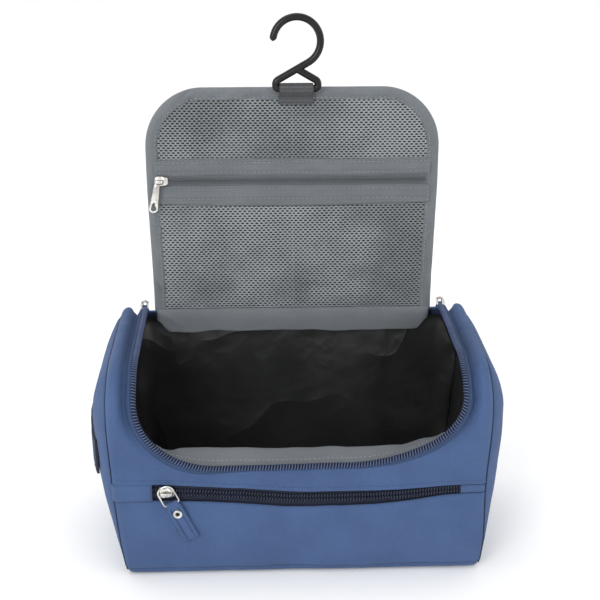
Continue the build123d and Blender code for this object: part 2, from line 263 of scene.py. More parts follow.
def weave(thread=0.55, slub=0.5, crease=0.0):
    """Plain weave bump from the cloth's own map in metres, with uneven threads and soft creases."""
    pitch = 2 * pi / (thread * MM)

    def height_of(nodes, where):
        cloth = nodes.node("ShaderNodeUVMap", {"uv_map": "cloth"})
        parts = nodes.node("ShaderNodeSeparateXYZ", None, {0: cloth})
        across = (parts.out("X") * pitch).sine()
        along = (parts.out("Y") * pitch).sine()
        rough = nodes.noise(where, 900.0, 2.0)
        threads = across * along * 0.35 + rough * slub
        if not crease:
            return threads
        fold = abs(nodes.noise(where, 32.0, 5.0, 0.55) - 0.5)
        return threads + fold * crease

    return height_of


def ribbed(across=1.3, along=2.4):
    """Webbing: ribs along the strap crossed by the weft."""

    def height_of(nodes, where):
        cloth = nodes.node("ShaderNodeUVMap", {"uv_map": "cloth"})
        parts = nodes.node("ShaderNodeSeparateXYZ", None, {0: cloth})
        ribs = (parts.out("X") * (2 * pi / (across * MM))).sine()
        weft = (parts.out("Y") * (2 * pi / (along * MM))).sine()
        return ribs * 0.5 + ribs * weft * 0.5 + nodes.noise(where, 1200.0) * 0.4

    return height_of


def crumpled():
    """Thin coated cloth: sharp soft folds of two sizes."""

    def height_of(nodes, where):
        large = abs(nodes.noise(where, 13.0, 1.5, 0.4) - 0.5) ** 0.85
        small = abs(nodes.noise(where, 38.0, 2.0, 0.5) - 0.5)
        return large * -17.0 - small * 3.0 + nodes.noise(where, 1500.0) * 0.05

    return height_of


def plain_noise(scale):
    def height_of(nodes, where):
        return nodes.noise(where, scale, 3.0)

    return height_of


def make_materials(look):
    """Every finish of the bag, by name."""
    blue, grey = tuple(look.cloth), tuple(look.lining)
    made = {}
    # Blue cloth: its seam colour, 0.35 of the blue, is painted shade for its grooves.
    made["blue cloth"] = surface(
        "blue cloth", tinted(blue, 0.12, 30.0, tuple(c * 0.35 for c in blue)), 0.85,
        weave(0.6, 1.0, 24.0), 0.00024, Sheen_Weight=0.08, Sheen_Roughness=0.4, Specular_IOR_Level=0.25,
    )
    # Zip tape: the outer blue darkened to 0.62, as painted shade of the fold that runs beside the zip's coil.
    made["blue tape in painted shade"] = surface(
        "blue tape in painted shade", tinted(
            tuple(c * 0.62 for c in blue), 0.1, 60.0
        ), 0.75, weave(0.5, 0.5), 0.00018,
        Specular_IOR_Level=0.25,
    )
    made["black lining"] = surface(
        "black lining", tinted(tuple(look.inside), 0.2, 20.0),
        lambda nodes, where: nodes.noise(where, 40.0, 2.0).between(0.3, 0.7, 0.28, 0.42),
        crumpled(), 0.0006, Specular_IOR_Level=0.65,
    )
    # Grey cloth: its seam colour, 0.55 of the grey, is painted shade for its seams and creases.
    made["grey cloth"] = surface(
        "grey cloth", tinted(
            grey, 0.1, 35.0, tuple(c * 0.55 for c in grey)
        ), 0.55, weave(0.4, 0.5, 13.0), 0.00026,
    )
    # The facing is the same grey cloth, darkened to 0.78 as painted shade inside the mouth.
    made["grey facing in painted shade"] = surface(
        "grey facing in painted shade", tinted(
            tuple(c * 0.78 for c in grey), 0.12, 30.0
        ), 0.6, weave(0.4, 0.4, 8.0), 0.00018,
    )
    # The grey of the lid's inside, behind the nets and bands, darkened to 0.36 as painted shade; its strong
    # clouds are partly random tone and partly painted shade of folds.
    made["grey lining in painted shade"] = surface(
        "grey lining in painted shade", tinted(
            tuple(c * 0.36 for c in grey), 0.25, 22.0
        ), 0.7, weave(0.4, 0.4), 0.00014,
    )
    # Net: its strong clouds, 0.4, are painted shade, darker patches where the net lies in shadow.
    made["net"] = surface(
        "net", tinted(tuple(look.net), 0.4, 24.0), 0.6, plain_noise(1800.0), 0.0001,
    )
    made["grey zip"] = surface(
        "grey zip", tinted(
            tuple(c * 0.72 for c in grey), 0.15, 60.0
        ), 0.45, plain_noise(900.0), 0.00006,
    )
    made["blue coil"] = surface(
        "blue coil", tinted(tuple(look.coil), 0.18, 60.0), 0.38, plain_noise(900.0), 0.00005,
        Specular_IOR_Level=0.6,
    )
    made["navy coil"] = surface(
        "navy coil", tinted(tuple(look.navy), 0.2, 60.0), 0.4, plain_noise(900.0), 0.00005,
    )
    made["navy tape"] = surface(
        "navy tape", tinted(
            tuple(c * 0.8 for c in look.navy), 0.15, 60.0
        ), 0.85, weave(0.5, 0.5), 0.0002,
    )
    made["navy webbing"] = surface(
        "navy webbing", tinted(
            tuple(c * 0.9 for c in look.navy), 0.15, 60.0
        ), 0.75, ribbed(), 0.0004,
    )
    made["grey webbing"] = surface(
        "grey webbing", tinted(tuple(look.loop), 0.14, 70.0), 0.75, ribbed(), 0.0004,
    )
    made["grey thread"] = surface(
        "grey thread", tinted(
            tuple(min(1, c * 1.5) for c in grey), 0.1
        ), 0.6, plain_noise(2500.0), 0.00005,
    )
    made["blue thread"] = surface(
        "blue thread", tinted(
            tuple(min(1, c * 1.15) for c in blue), 0.1
        ), 0.6, plain_noise(2500.0), 0.00005,
    )
    made["nickel"] = surface(
        "nickel", tinted(tuple(look.metal), 0.4, 160.0),
        lambda nodes, where: nodes.noise(where, 300.0, 3.0).between(0.3, 0.7, 0.16, 0.3),
        plain_noise(1500.0), 0.00002, Metallic=1.0,
    )
    made["black plastic"] = surface(
        "black plastic", tinted(tuple(look.plastic), 0.2, 90.0),
        lambda nodes, where: nodes.noise(where, 220.0, 3.0).between(0.3, 0.7, 0.2, 0.3),
        plain_noise(500.0), 0.00004, Specular_IOR_Level=0.3,
    )
    return made


MATERIALS = {}


def material(name):
    if not MATERIALS:
        MATERIALS.update(make_materials(bpy.context.scene.toiletry_bag_look))
    return MATERIALS[name]


# ---------------------------------------------------------------- shapes from grids


class Shape:
    """Points and faces gathered from grids and swept sections, in millimetres."""

    def __init__(self):
        self.points, self.cloth, self.faces, self.slots, self.count = [], [], [], [], 0

    def grid(self, points, cloth=None, slot=0, ring=False, turned=False):
        """Faces over points[row, column]; ring joins the last column to the first."""
        rows, columns = points.shape[:2]
        if cloth is None:
            cloth = np.zeros((rows, columns, 2))
        start = self.count
        self.points.append(points.reshape(-1, 3))
        self.cloth.append(cloth.reshape(-1, 2))
        self.count += rows * columns
        for i in range(rows - 1):
            for j in range(columns - (0 if ring else 1)):
                k = (j + 1) % columns
                a, b = start + i * columns + j, start + i * columns + k
                face = (a, b, b + columns, a + columns)
                self.faces.append(face[::-1] if turned else face)
                self.slots.append(slot)
        return self

    def slab(self, upper, under, cloth=None, slot=0, under_slot=None):
        """A closed shell between two grids of the same size, with a rim round their edges."""
        under_slot = slot if under_slot is None else under_slot
        self.grid(upper, cloth, slot)
        self.grid(under, cloth, under_slot, turned=True)
        for edge in (np.s_[0, :], np.s_[-1, :], np.s_[:, 0], np.s_[:, -1]):
            rim = np.stack([upper[edge], under[edge]])
            rim_cloth = None if cloth is None else np.stack([cloth[edge], cloth[edge]])
            self.grid(rim, rim_cloth, slot)
        return self

    def sweep(self, path, section, out, scale=None, ring=False, caps=True, slot=0):
        """Carries a closed section (across, outwards) along a path whose outward direction is out."""
        path, section = np.asarray(path, float), np.asarray(section, float)
        out = np.broadcast_to(np.asarray(out, float), path.shape)
        if ring:
            ahead = np.roll(path, -1, 0) - np.roll(path, 1, 0)
        else:
            ahead = np.gradient(path, axis=0)
        ahead /= np.maximum(np.linalg.norm(ahead, axis=1, keepdims=True), 1e-9)
        across = np.cross(ahead, out)
        across /= np.maximum(np.linalg.norm(across, axis=1, keepdims=True), 1e-9)
        upright = np.cross(across, ahead)
        size = np.ones(len(path)) if scale is None else np.asarray(scale, float)
        rings = path[:, None] + size[:, None, None] * (
            section[None, :, :1] * across[:, None] + section[None, :, 1:] * upright[:, None]
        )
        length = np.concatenate(
            [[0], np.cumsum(np.linalg.norm(np.diff(path, axis=0), axis=1))]
        ) * MM
        around = np.concatenate(
            [[0], np.cumsum(np.linalg.norm(np.diff(section, axis=0), axis=1))]
        ) * MM
        cloth = np.stack(np.broadcast_arrays(around[None, :], length[:, None]), -1)
        if ring:
            rings, cloth = np.concatenate([rings, rings[:1]]), np.concatenate([cloth, cloth[:1]])
        self.grid(rings, cloth, slot, ring=True)
        if caps and not ring:
            for end in (rings[0], rings[-1]):
                middle = np.broadcast_to(end.mean(0), end.shape)
                self.grid(np.stack([end, middle]), None, slot, ring=True)
        return self

    def make(self, name, materials, place=None, away=None, merge=0.004):
        """The finished object, in metres; away is a point that an open sheet's faces look away from."""
        mesh = bpy.data.meshes.new(name)
        points = np.concatenate(self.points) * MM
        mesh.from_pydata(points.tolist(), [], self.faces)
        layer = mesh.uv_layers.new(name="cloth")
        corner = np.zeros(len(mesh.loops), np.int32)
        mesh.loops.foreach_get("vertex_index", corner)
        layer.data.foreach_set("uv", np.concatenate(self.cloth)[corner].astype(np.float32).ravel())
        mesh.polygons.foreach_set("material_index", self.slots)
        for finish in materials:
            mesh.materials.append(material(finish))
        work = bmesh.new()
        work.from_mesh(mesh)
        bmesh.ops.remove_doubles(work, verts=work.verts, dist=merge * MM)
        bmesh.ops.dissolve_degenerate(work, edges=work.edges, dist=1e-7)
        if place is not None:
            bmesh.ops.transform(work, matrix=place, verts=work.verts)
        if away is None:
            bmesh.ops.recalc_face_normals(work, faces=work.faces)
        else:
            inside = Vector(away) * MM
            lean = sum(
                f.normal.dot(f.calc_center_median() - inside) * f.calc_area() for f in work.faces
            )
            if lean < 0:
                bmesh.ops.reverse_faces(work, faces=work.faces)
        for face in work.faces:
            face.smooth = True
        work.to_mesh(mesh)
        work.free()
        made = bpy.data.objects.new(name, mesh)
        bpy.context.scene.collection.objects.link(made)
        return made


def thicken(piece, thickness, offset=-1.0):
    wall = piece.modifiers.new("cloth thickness", "SOLIDIFY")
    wall.thickness, wall.offset = thickness * MM, offset
    return piece


def soften(piece, levels=1):
    smooth = piece.modifiers.new("soft", "SUBSURF")
    smooth.levels = smooth.render_levels = levels
    return piece


def oval(width, height, count=10, power=2.0):
    """A closed section: an oval, or a rounded rectangle with a higher power."""
    turns = np.linspace(0, 2 * pi, count, endpoint=False)
    c, s = np.cos(turns), np.sin(turns)
    return np.stack(
        [
            width / 2 * np.sign(c) * np.abs(c) ** (2 / power),
            height / 2 * np.sign(s) * np.abs(s) ** (2 / power),
        ],
        -1,
    )


def ripples(points, scale, seed, octaves=2):
    """Smooth seeded noise from -1 to 1 at each point; scale is the size of a ripple in millimetres."""
    flat = np.asarray(points, float).reshape(-1, 3) / scale + seed * 17.31
    values = [noise.fractal(Vector(p), 0.9, 2.0, octaves) for p in flat]
    return np.array(values).reshape(np.asarray(points).shape[:-1])


def rounded_path(corners, radii, step=1.0):
    """A flat polyline with its corners rounded, and points about a step apart."""
    path = [np.array(corners[0], float)]
    for before, corner, after, radius in zip(corners, corners[1:], corners[2:], radii):
        before, corner, after = (np.array(p, float) for p in (before, corner, after))
        a, b = before - corner, after - corner
        a, b = a / np.linalg.norm(a), b / np.linalg.norm(b)
        half = np.arccos(np.clip(a @ b, -1, 1)) / 2
        reach = radius / np.tan(half)
        middle = corner + (a + b) / np.linalg.norm(a + b) * radius / np.sin(half)
        start, stop = corner + a * reach - middle, corner + b * reach - middle
        turn = pi - 2 * half
        count = max(3, int(radius * turn / step) + 2)
        for share in np.linspace(0, 1, count):
            spoke = (
                np.sin((1 - share) * turn) * start + np.sin(share * turn) * stop
            ) / np.sin(turn)
            path.append(middle + spoke)
    path.append(np.array(corners[-1], float))
    return evenly(np.array(path), step)


def evenly(path, step):
    """The same line with points a step apart."""
    path = np.asarray(path, float)
    travelled = np.concatenate([[0], np.cumsum(np.linalg.norm(np.diff(path, axis=0), axis=1))])
    count = max(2, int(round(travelled[-1] / step)) + 1)
    places = np.linspace(0, travelled[-1], count)
    return np.stack([np.interp(places, travelled, path[:, i]) for i in range(path.shape[1])], -1)


def stepped(start, stop, step):
    return np.linspace(start, stop, max(2, int(abs(stop - start) / step) + 1))


def ease(value, start, stop):
    """0 before start, 1 after stop, smooth between."""
    share = np.clip((np.asarray(value, float) - start) / (stop - start), 0, 1)
    return share * share * (3 - 2 * share)


def bell(value, width):
    return np.exp(-((np.asarray(value, float) / width) ** 2))


# ---------------------------------------------------------------- rows of small pieces


def row_tree():
    """Geometry Nodes: copies of a small piece along seam lines, turned to the cloth's outward direction."""
    found = bpy.data.node_groups.get("row along a seam")
    if found:
        return found
    tree = bpy.data.node_groups.new("row along a seam", "GeometryNodeTree")
    face = tree.interface
    face.new_socket("Seams", in_out="INPUT", socket_type="NodeSocketGeometry")
    face.new_socket("Piece", in_out="INPUT", socket_type="NodeSocketObject")
    face.new_socket("Pitch", in_out="INPUT", socket_type="NodeSocketFloat")
    face.new_socket("Finish", in_out="INPUT", socket_type="NodeSocketMaterial")
    face.new_socket("Row", in_out="OUTPUT", socket_type="NodeSocketGeometry")
    nodes = Nodes(tree)
    given = nodes.node("NodeGroupInput")
    line = nodes.node("GeometryNodeMeshToCurve", None, {0: given.out("Seams")})
    even = nodes.node(
        "GeometryNodeResampleCurve", {"mode": "LENGTH"}, {
            "Curve": line, "Length": given.out("Pitch")
        }
    )
    out = nodes.node(
        "GeometryNodeInputNamedAttribute", {"data_type": "FLOAT_VECTOR"}, {"Name": "out"}
    )
    tangent = nodes.node("GeometryNodeInputTangent")
    turn = nodes.node(
        "FunctionNodeAxesToRotation",
        {"primary_axis": "Z", "secondary_axis": "X"},
        {"Primary Axis": out, "Secondary Axis": tangent},
    )
    piece = nodes.node("GeometryNodeObjectInfo", None, {"Object": given.out("Piece")}, "Geometry")
    copies = nodes.node(
        "GeometryNodeInstanceOnPoints", None, {"Points": even, "Instance": piece, "Rotation": turn}
    )
    real = nodes.node("GeometryNodeRealizeInstances", None, {0: copies})
    finish = nodes.node(
        "GeometryNodeSetMaterial", None, {"Geometry": real, "Material": given.out("Finish")}
    )
    nodes.node("NodeGroupOutput", None, {0: finish})
    return tree


def run_tree(name, mesh, tree, inputs):
    """Runs a node tree on a mesh and gives the result as a plain object."""
    holder = bpy.data.objects.new(name, mesh)
    bpy.context.scene.collection.objects.link(holder)
    modifier = holder.modifiers.new("nodes", "NODES")
    modifier.node_group = tree
    for item in tree.interface.items_tree:
        if item.in_out == "INPUT" and item.name in inputs:
            modifier[item.identifier] = inputs[item.name]
    bpy.context.view_layer.update()
    graph = bpy.context.evaluated_depsgraph_get()
    baked = bpy.data.meshes.new_from_object(holder.evaluated_get(graph))
    holder.modifiers.clear()
    holder.data = baked
    baked.name = name
    return holder


def rows(name, lines, piece, pitch, finish):
    """Copies of a small piece along several lines; a line is its points and its outward directions."""
    mesh = bpy.data.meshes.new(name)
    points, outs, edges = [], [], []
    for line, out in lines:
        line = np.asarray(line, float)
        start = sum(len(p) for p in points)
        points.append(line)
        outs.append(np.broadcast_to(np.asarray(out, float), line.shape))
        edges += [(start + i, start + i + 1) for i in range(len(line) - 1)]
    mesh.from_pydata((np.concatenate(points) * MM).tolist(), edges, [])
    attribute = mesh.attributes.new("out", "FLOAT_VECTOR", "POINT")
    attribute.data.foreach_set("vector", np.concatenate(outs).astype(np.float32).ravel())
    made = run_tree(
        name, mesh, row_tree(), {"Piece": piece, "Pitch": pitch * MM, "Finish": material(finish)}
    )
    if len(made.data.polygons) == 0:
        raise RuntimeError(f"{name} came out empty")
    bpy.data.objects.remove(piece)
    return made


def dash(length=2.2, width=0.55, height=0.4):
    """One stitch: a short thread whose ends dip into the cloth."""
    along = np.array([-0.5, -0.32, 0.32, 0.5]) * length
    lift = np.array([-0.6, 0.25, 0.25, -0.6]) * height
    path = np.stack([along, np.zeros(4), lift], -1)
    shape = Shape().sweep(path, oval(width, height, 6), (0, 0, 1), [0.5, 1, 1, 0.5])
    return shape.make("one_stitch", ["grey thread"])


def tooth(width, height, wire, slant=0.5):
    """One turn of a nylon coil: an arch across the tape that leans along it."""
    turns = np.linspace(-0.1, pi + 0.1, 8)
    path = np.stack([slant * np.cos(turns), width / 2 * np.cos(turns), height * np.sin(turns)], -1)
    shape = Shape().sweep(path, oval(wire, wire, 6), (1, 0, 0))
    return shape.make("one_tooth", ["blue coil"])


# ---------------------------------------------------------------- the bag's soft skin


def end_outline():
    """The bag's outline seen from its end: (distance along it, y, z, outward y, outward z), starting at
    the middle of the base and going round by the front, so that distance is the height up the front."""
    corners = [
        (FRONT, 0, BOTTOM_RADIUS), (FRONT, TOP, FRONT_TOP_RADIUS), (BACK, TOP, BACK_TOP_RADIUS),
        (BACK, 0, BOTTOM_RADIUS),
    ]
    spots = [(0.0, 0.0)] + [c[:2] for c in corners] + [(0.0, 0.0)]
    radii = [c[2] for c in corners]
    line = rounded_path(spots, radii, 0.25)
    ahead = np.gradient(line, axis=0)
    ahead /= np.linalg.norm(ahead, axis=1, keepdims=True)
    out = np.stack([-ahead[:, 1], ahead[:, 0]], -1)
    travelled = np.concatenate([[0], np.cumsum(np.linalg.norm(np.diff(line, axis=0), axis=1))])
    start = np.interp(FRONT_TOP_RADIUS, line[: len(line) // 3, 1], travelled[: len(line) // 3])
    return travelled - start + FRONT_TOP_RADIUS, line, out


ALONG, OUTLINE, OUTWARD = end_outline()


def wrap(along):
    """The (y, z) point and outward direction at a distance along the outline."""
    y, z = (np.interp(along, ALONG, OUTLINE[:, i]) for i in (0, 1))
    out_y, out_z = (np.interp(along, ALONG, OUTWARD[:, i]) for i in (0, 1))
    size = np.hypot(out_y, out_z)
    return y, z, out_y / size, out_z / size


def along_of(y, z):
    """The distance along the outline of its point nearest to (y, z)."""
    return ALONG[np.argmin((OUTLINE[:, 0] - y) ** 2 + (OUTLINE[:, 1] - z) ** 2)]


BASE_FRONT_SEAM = along_of(FRONT, 5.0)
BASE_BACK_SEAM = along_of(BACK, 5.0)
MOUTH_END = along_of(MOUTH_BACK, TOP)
FIRST, LAST = ALONG[0], ALONG[-1]


def seam_half(z):
    """Half of the bag's width at the seams of its ends."""
    return np.interp(z, [0, 25, 60, 100, 130, 146], [116.5, 119.6, 122.6, 124.8, 125.6, 125.2])


def pocket_top(x):
    """The fold above the pocket's zip, which sags in the middle."""
    return np.interp(
        x, [-125, -97, -50, 0, 50, 106, 125], [70.4, 72.3, 68.8, 63.4, 63.8, 66.6, 67.4]
    )


def pocket_bottom(x):
    """The edge below the pocket's zip and the seam that goes on from it to both ends."""
    return np.interp(
        x, [-125, -97, -50, 0, 50, 106, 125], [58.6, 59.6, 57.0, 51.6, 53.6, 59.8, 60.6]
    )


def smooth_line(line, x):
    """A line of straight runs, smoothed."""
    return sum(line(x + d) for d in (-24, -16, -8, 0, 8, 16, 24)) / 7


def turn_across(x):
    """How far across the mouth's front corner reaches, which is further on the right."""
    return np.where(np.asarray(x) < 0, 50.0, 78.0)


def mouth_height(x):
    """The place along the outline of the mouth's front edge."""
    across = turn_across(x)
    over = np.clip((np.abs(x) - MOUTH_HALF + across) / across, 0, 1)
    return MOUTH_LOW + MOUTH_CORNER * (1 - np.sqrt(1 - over**2))


def from_mouth(x, along):
    """How far a point of the skin is outside the mouth's edge."""
    across = turn_across(x)
    over = np.maximum((np.abs(x) - MOUTH_HALF + across) / across, 1e-6)
    under = np.maximum((MOUTH_LOW + MOUTH_CORNER - along) / MOUTH_CORNER, 1e-6)
    spread = np.hypot(over, under)
    return (spread - 1) * spread / np.hypot(over / across, under / MOUTH_CORNER)


def skin(x, along, lift=0.0, wrinkle=1.0):
    """A point of the bag's outside, by its place across and along the outline."""
    x, along = np.broadcast_arrays(np.asarray(x, float), np.asarray(along, float))
    y, z, out_y, out_z = wrap(along)
    to_seam = seam_half(z) - np.abs(x)
    beside = from_mouth(x, along)
    flank = ease(along, MOUTH_LOW - 4, MOUTH_LOW + 46) * ease(BASE_BACK_SEAM - along, 60, 130)
    soft = -3.6 * flank * bell(beside - 7.6, 2.4)
    span = np.clip(to_seam / np.maximum(to_seam + beside - 9, 1), 0, 1)
    soft = soft + 3.2 * flank * np.sin(pi * span) ** 0.8
    soft = soft - 2.0 * bell(to_seam, 1.3) - 2.6 * np.exp(
        -np.maximum(to_seam, 0) / 4.0
    ) * (0.25 + 0.75 * flank)
    seam_line = smooth_line(pocket_bottom, x)
    on_front = ease(along, 8, 20) * ease(-along, -110, -90)
    soft = soft - 1.0 * on_front * bell(along - seam_line, 1.3)
    soft = soft + 1.6 * on_front * np.sin(pi * np.clip((along - 8) / 50, 0, 1))
    base_seams = bell(along - BASE_FRONT_SEAM, 1.3) + bell(along - BASE_BACK_SEAM, 1.3)
    soft = soft - 0.8 * base_seams
    place = np.stack([x, y, z], -1)
    calm = ease(to_seam, 0, 14) * 0.8 + 0.2
    lively = np.where(z > 3, 1.0, 0.25) * wrinkle
    soft = soft + calm * lively * (
        1.5 * ripples(place * (1, 1, 1.3), 75, 1) + 0.65 * ripples(place, 24, 2)
    )
    puckers = ripples(place * (1, 1, 0.35), 9, 3, 1)
    near_seams = bell(to_seam, 8) * 0.4 + on_front * bell(along - seam_line, 7) * 0.4
    soft = soft + wrinkle * near_seams * puckers
    soft = soft + lift
    x = x + 5.5 * np.maximum(x, 0) / 118 * (1 - ease(z, 0, 75))
    return np.stack([x, y + out_y * soft, np.maximum(z + out_z * soft, 0.05)], -1)


def flat_map(x, along):
    return np.stack(np.broadcast_arrays(x, along), -1) * MM


def end_skin(side, share, along):
    """A point of an end panel; share goes from 0 in its middle to 1 at its seam."""
    z = wrap(along)[1]
    edge = skin(side * seam_half(z), along)
    middle = np.array([0.0, 4.0, 74.0])
    flat = middle + (edge - middle) * share[..., None]
    height = flat[..., 2]
    bulge = 12.5 * (1 - share**6) ** 0.62 * (
        0.35 + 0.65 * ease(height, 0, 70)
    ) * (1 - 0.35 * ease(height, 112, 146))
    bulge = bulge * (1 - 0.25 * ease(np.abs(flat[..., 1]), 30, 64))
    reach = edge[..., 0] * share + side * seam_half(height) * (1 - share)
    wave = 1.3 * ripples(flat * (1, 1, 0.8), 46, 5) + 0.4 * ripples(flat, 17, 6)
    flat[..., 0] = reach + side * (bulge + wave * (1 - share**3))
    return flat


def yoke_lines(inner_grow, half_of, bottom_of, step=2.5):
    """Matching points along the mouth's edge and along the yoke's outer edge, from back left to back right:
    (mouth x, mouth along, edge x, edge along)."""
    halves = []
    for sign in (-1, 1):
        across = float(turn_across(sign))
        corner_along = float(bottom_of(np.array(sign * 122.0)))
        side = stepped(MOUTH_END, corner_along, step)
        edge_x = half_of(wrap(side)[1])
        bottom = stepped(edge_x[-1], 0, step)[1:]
        xs, alongs = np.append(edge_x, bottom), np.append(side, bottom_of(sign * bottom))
        turn_start, turn_end = MOUTH_LOW + MOUTH_CORNER, MOUTH_HALF - across
        travelled = np.concatenate([[0], np.cumsum(np.hypot(np.diff(xs), np.diff(alongs)))])
        before = (np.arange(len(xs)) < len(side)) & (alongs >= turn_start)
        after = (np.arange(len(xs)) >= len(side)) & (xs < turn_end)
        first, last = travelled[before][-1], travelled[after][0]
        angle = np.clip((travelled - first) / (last - first), 0, 1) * pi / 2
        mouth_x = np.where(
            before, MOUTH_HALF + inner_grow, turn_end + (across + inner_grow) * np.cos(angle)
        )
        mouth_x = np.where(after, xs, mouth_x)
        mouth_along = np.where(
            before, alongs, turn_start - (MOUTH_CORNER + inner_grow) * np.sin(angle)
        )
        mouth_along = np.where(after, MOUTH_LOW - inner_grow, mouth_along)
        halves.append([sign * mouth_x, mouth_along, sign * xs, alongs])
    return [np.concatenate([left, right[-2::-1]]) for left, right in zip(*halves)]


def yoke_bottom(x):
    return smooth_line(pocket_top, x)


def mouth_line(grow, step=1.0):
    """The mouth's edge from back left to back right: places across and along."""
    start, halves = MOUTH_LOW + MOUTH_CORNER, []
    for sign in (-1, 1):
        across = float(turn_across(sign))
        left = stepped(MOUTH_END, start, step)
        turn = np.linspace(0, pi / 2, 90)[1:-1]
        flat = stepped(MOUTH_HALF - across, 0, step)
        x = np.concatenate(
            [np.full(len(left), MOUTH_HALF + grow), flat[0] + (across + grow) * np.cos(turn), flat]
        )
        edge = start - (MOUTH_CORNER + grow) * np.sin(turn)
        halves.append(
            (sign * x, np.concatenate([left, edge, np.full(len(flat), MOUTH_LOW - grow)]))
        )
    return [np.concatenate([left, right[-2::-1]]) for left, right in zip(*halves)]


def outward(x, along):
    """The unit direction out of the skin."""
    _, _, out_y, out_z = wrap(along)
    return np.stack([np.zeros_like(out_y), out_y, out_z], -1)


# ---------------------------------------------------------------- pieces, their bodies and the CAD nodes they stand for


def area_of(piece):
    graph = bpy.context.evaluated_depsgraph_get()
    shown = piece.evaluated_get(graph)
    mesh = shown.to_mesh()
    total = sum(p.area for p in mesh.polygons)
    shown.to_mesh_clear()
    return total


# How wide each cloth was cut: a width chosen to suit the panel or tape that it stands for.
CUT_WIDTHS = {
    "yoke_cloth": 260,
    "front_cloth": 245,
    "back_cloth": 250,
    "base_cloth": 240,
    "end_cloth_left": 150,
    "end_cloth_right": 150,
    "bag_lining": 380,
    "front_facing_roll": 186,
    "hinge_facing": 200,
    "main_zip_tape_cloth": 14,
    "pocket_zip_tape_cloth": 205,
    "lid_binding_cloth": 23,
    "lid_zip_tape_cloth": 10.5,
    "hinge_cloth": 204,
    "lower_band": 196,
    "upper_band": 196,
    "lid_zip_tape_grey": 10.5,
    "hanging_loop_webbing": 24,
}


def as_sheet(piece, layers=2):
    """Works out a length for the cloth from its cut width and the area of the finished surface, so that
    length always agrees with the mesh; the length is not kept. The declared area always agrees with the
    mesh's and is no test of it."""
    width = CUT_WIDTHS[piece.name] * MM
    area_of(piece) / layers / width


def settle(piece, body, slot_name, *replaced):
    """The piece moves with a body and stands for CAD nodes, which it hides; slot_name is not used."""
    if isinstance(body, str):
        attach(piece, body)
    if replaced:
        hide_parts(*replaced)
    return piece


def bend(piece, first, second, start, stop, slot_name, *replaced):
    """Bakes the piece's place into its mesh and hides the CAD nodes that it stands for, without bending it;
    first, second and slot_name are not used, and start and stop are only turned into tuples.
    """
    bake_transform(piece)
    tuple(start)
    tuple(stop)
    if replaced:
        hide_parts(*replaced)
    return piece


FOLD_START, FOLD_STOP = on_lid(0, FOLD - 9, 0), on_lid(0, FOLD + 9, 0)
HINGE_START, HINGE_STOP = Vector((0, HINGE[1], HINGE[2] - 5)) * MM, on_lid(0, LID_START + 1, 0)


def lid_taper(across, along):
    """The soft lid is drawn in a little towards its hinge."""
    return across * (0.968 + 0.024 * ease(along, 0, 110)) - 0.6 * (across > 0)


def lid_world(points):
    """Points of the lid's own plane as points of the bag, in millimetres."""
    points = np.asarray(points, float)
    along, inward = points[..., 1], points[..., 2]
    across = lid_taper(points[..., 0], along)
    y = HINGE[1] + along * sin(LEAN) - inward * cos(LEAN)
    z = HINGE[2] + along * cos(LEAN) + inward * sin(LEAN)
    return np.stack([across, y, z], -1)


LID_OUT = np.array([0, -cos(LEAN), sin(LEAN)])


def lid_ring(inset, step=2.0, start=LID_START):
    """The lid's outline drawn in by inset, from its lower left end round to its lower right end."""
    half, tip, radius = LID_HALF - inset, LID_LENGTH - inset, LID_CORNER - inset
    left = stepped(start, LID_LENGTH - LID_CORNER, step)
    turn = np.linspace(0, pi / 2, 34)[1:-1]
    flat = stepped(-(LID_HALF - LID_CORNER), 0, step)
    x = np.concatenate(
        [np.full(len(left), -half), -(LID_HALF - LID_CORNER) - radius * np.cos(turn), flat]
    )
    along = np.concatenate(
        [left, LID_LENGTH - LID_CORNER + radius * np.sin(turn), np.full(len(flat), tip)]
    )
    return np.concatenate([x, -x[-2::-1]]), np.concatenate([along, along[-2::-1]])


def lid_half_at(along, inset=0.0):
    """Half of the lid's width at a distance from the hinge line."""
    over = np.clip(np.asarray(along, float) - (LID_LENGTH - LID_CORNER), 0, LID_CORNER - inset)
    radius = LID_CORNER - inset
    return LID_HALF - LID_CORNER + np.sqrt(np.maximum(radius**2 - over**2, 0))


def lid_wave(across, along, seed=11, size=60, amount=0.5):
    place = np.stack(np.broadcast_arrays(across, along, np.zeros_like(across)), -1)
    return amount * ripples(place, size, seed)


# ---------------------------------------------------------------- the operators


class PieceOperator(bpy.types.Operator):
    """Builds pieces of the bag"""

    bl_options = {"REGISTER", "UNDO"}

    def execute(self, context):
        self.build(context.scene.toiletry_bag_size)
        return {"FINISHED"}


